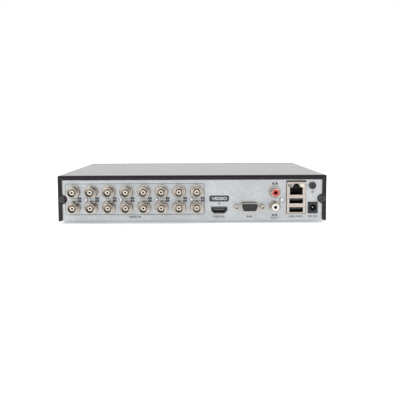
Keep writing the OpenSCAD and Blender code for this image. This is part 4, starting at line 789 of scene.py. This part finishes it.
def small_parts():
    """Rows of chip resistors, chip capacitors and small circuits wherever the main board is free."""
    bpy.context.view_layer.update()
    rng = random.Random(7)
    low, high = LOW["main_board"], HIGH["main_board"]
    taken, resistors, ceramics, ends, circuits, legs = [], [], [], [], [], []

    def claim(x, y, half_x, half_y):
        clear = all(abs(x - a) > half_x + c + PART_GAP or abs(y - b) > half_y + d + PART_GAP
                    for a, b, c, d in taken)
        if clear and free_of_parts(x, y, half_x + PART_MARGIN, half_y + PART_MARGIN):
            taken.append((x, y, half_x, half_y))
            return True
        return False

    for _ in range(CIRCUIT_TRIES):
        x, y = rng.uniform(low.x + 6 * MM, high.x - 6 * MM), rng.uniform(low.y + 5 * MM, high.y - 14 * MM)
        if claim(x, y, 2.6 * MM, 3.2 * MM):
            circuits.append(at(x, y, BOARD_Z))
            for side in (-1, 1):
                legs += [at(x + (i - 1.5) * CIRCUIT_LEG_PITCH, y + side * 2.45 * MM, BOARD_Z,
                            0 if side > 0 else 180) for i in range(4)]
    for _ in range(ROW_TRIES):
        x, y = rng.uniform(low.x + 4 * MM, high.x - 4 * MM), rng.uniform(low.y + 3 * MM, high.y - 11 * MM)
        turned, dark, count = rng.random() < 0.5, rng.random() < 0.55, rng.randint(2, 6)
        for i in range(count):
            px, py = (x, y + i * 1.5 * MM) if turned else (x + i * 1.5 * MM, y)
            half = (0.8 * MM, 0.4 * MM) if turned else (0.4 * MM, 0.8 * MM)
            if claim(px, py, *half):
                spot = at(px, py, BOARD_Z, 0 if turned else 90)
                (resistors if dark else ceramics).append(spot)
                ends.append(spot)
    body = block((-0.62 * MM, -0.4 * MM, 0), (0.62 * MM, 0.4 * MM, 0.5 * MM), 0.05 * MM, 1)
    repeat(body, resistors, "chip_resistors", FINISH["chip_epoxy"])
    body = block((-0.62 * MM, -0.4 * MM, 0), (0.62 * MM, 0.4 * MM, 0.7 * MM), 0.1 * MM, 1)
    # Fired ceramic: tan with a fine matt grain
    ceramic = finish("fired_ceramic", "#b79b74", "#9d8360", (0.4, 0.55), 0.3, 0.004)
    repeat(body, ceramics, "chip_capacitors", ceramic)
    caps = joined([block((x - 0.16 * MM, -0.41 * MM, 0), (x + 0.16 * MM, 0.41 * MM, 0.56 * MM), 0.04 * MM, 1)
                   for x in (-0.66 * MM, 0.66 * MM)])
    repeat(caps, ends, "chip_ends", FINISH["bright_screw_steel"])
    body = block((-2.5 * MM, -1.95 * MM, 0.15 * MM), (2.5 * MM, 1.95 * MM, 1.5 * MM), 0.18 * MM, 1)
    repeat(body, circuits, "small_circuits", FINISH["chip_epoxy"])
    path = [(-0.55 * MM, 0.75 * MM), (-0.1 * MM, 0.72 * MM), (0.15 * MM, 0.1 * MM), (0.65 * MM, 0.07 * MM)]
    leg = strip(path, 0.42 * MM, 0.12 * MM)
    repeat(leg, legs, "small_circuit_legs", FINISH["bright_screw_steel"])


def paper_label(name, size, spot, body, seed, heading):
    """Label with a frame, rows of plain bars where print would be, and a row of bars of mixed widths."""
    rng = random.Random(seed)
    # Coated label paper: white, faintly fibrous
    paper = finish(name + "_paper", "#eceae5", "#dfddd7", (0.4, 0.5), 0.5, 0.002)
    keep(place(plate(size, 1.5 * MM), spot), name, paper, body)
    bars = [plate((size[0] - 3 * MM, size[1] - 3 * MM), 1 * MM, line=0.25 * MM)]
    for row in range(4):
        wide = size[0] * rng.uniform(0.45, 0.75)
        bar = plate((wide, 0.9 * MM), 0.2 * MM, steps=1)
        bars.append(place(bar, at(-size[0] / 2 + 3.5 * MM + wide / 2, size[1] * (0.22 - 0.13 * row), 0)))
    bars.append(place(plate((size[0] * heading, 2.4 * MM), 0.4 * MM), at(0, size[1] * 0.36, 0)))
    x = -size[0] * 0.36
    while x < size[0] * 0.36:
        wide = rng.choice((0.3, 0.5, 0.9)) * MM
        bars.append(place(plate((wide, 4 * MM)), at(x, -size[1] * 0.36, 0)))
        x += wide + rng.choice((0.4, 0.7)) * MM
    keep(place(joined(bars), spot @ at(0, 0, PRINT)), name + "_print", INK["dark"], body)


def labels():
    """Labels on the drive's lid and the case's underside, and the sticker on the fan's hub."""
    lid, low = HIGH["disk_lid"], LOW["disk_lid"]
    above = at(lid.x - 21.5 * MM, (lid.y + low.y) / 2, lid.z, 90)
    paper_label("drive_label", (74 * MM, 34 * MM), above, "case", 3, 0.5)
    under = Matrix.Translation((30 * MM, 20 * MM, FLOOR_Z)) @ Matrix.Rotation(math.pi, 4, "X")
    paper_label("rating_label", (66 * MM, 34 * MM), under, "case", 5, 0.4)
    hub_low, hub_high = LOW["fan_rotor"], HIGH["fan_rotor"]
    hub = Matrix.Translation((hub_low.x, (hub_low.y + hub_high.y) / 2, (hub_low.z + hub_high.z) / 2))
    spot = hub @ Matrix.Rotation(-math.pi / 2, 4, "Y")
    # Metallised film sticker on the fan's hub
    film = finish("metallised_film", "#c9cbd0", "#b9bbc0", (0.2, 0.3), 0.5, 0.001, metal=1.0)
    keep(place(disc(7.6 * MM, PRINT), spot), "fan_sticker", film, "fan_rotor")
    marks = [plate((9 * MM, 0.7 * MM), 0.2 * MM, steps=1),
             place(plate((6 * MM, 0.7 * MM)), at(0, 1.8 * MM, 0)), ring(6.9 * MM, 6.6 * MM, PRINT)]
    keep(place(joined(marks), spot @ at(0, 0, PRINT)), "fan_sticker_print", INK["dark"], "fan_rotor")


# ---------- build ----------

make_camera()
make_studio()
make_floor()
FINISH = make_finishes()
for part in frame["record"]["subparts"]:
    node = NODES[part["node"]]
    for place_in_list in range(len(node.data.materials)):
        node.data.materials[place_in_list] = FINISH[part["material_slot"]]
# A gold contact far down its insulator: brown in its own shadow
IN_SHADE = finish("gold_in_shade", "#0e0c0a", "#080706", (0.65, 0.75), 0.4,
                  sockets={"Specular IOR Level": 0.2})
NODES["video_jack_contacts"].data.materials[0] = IN_SHADE
NODES["audio_jack_contacts"].data.materials[0] = IN_SHADE
# Grey-filled tongue and a duller stamped shell on the digital video socket
NODES["digital_video_tongue"].data.materials[0] = finish("grey_filled_nylon", "#5d5d61", "#4c4c50",
                                                          (0.4, 0.5), 0.3)
NODES["digital_video_shell"].data.materials[0] = finish("stamped_nickel", "#8f8982", "#77716b",
                                                         (0.25, 0.35), 0.4, 0.003, metal=1.0)
INK = inks()
small_parts()
chip_legs()
capacitor_marks()
board_print()
number_plates()
video_outline()
socket_words()
front_signs()
shield_springs()
contact_rims()
spot_welds()
socket_contacts()
labels()
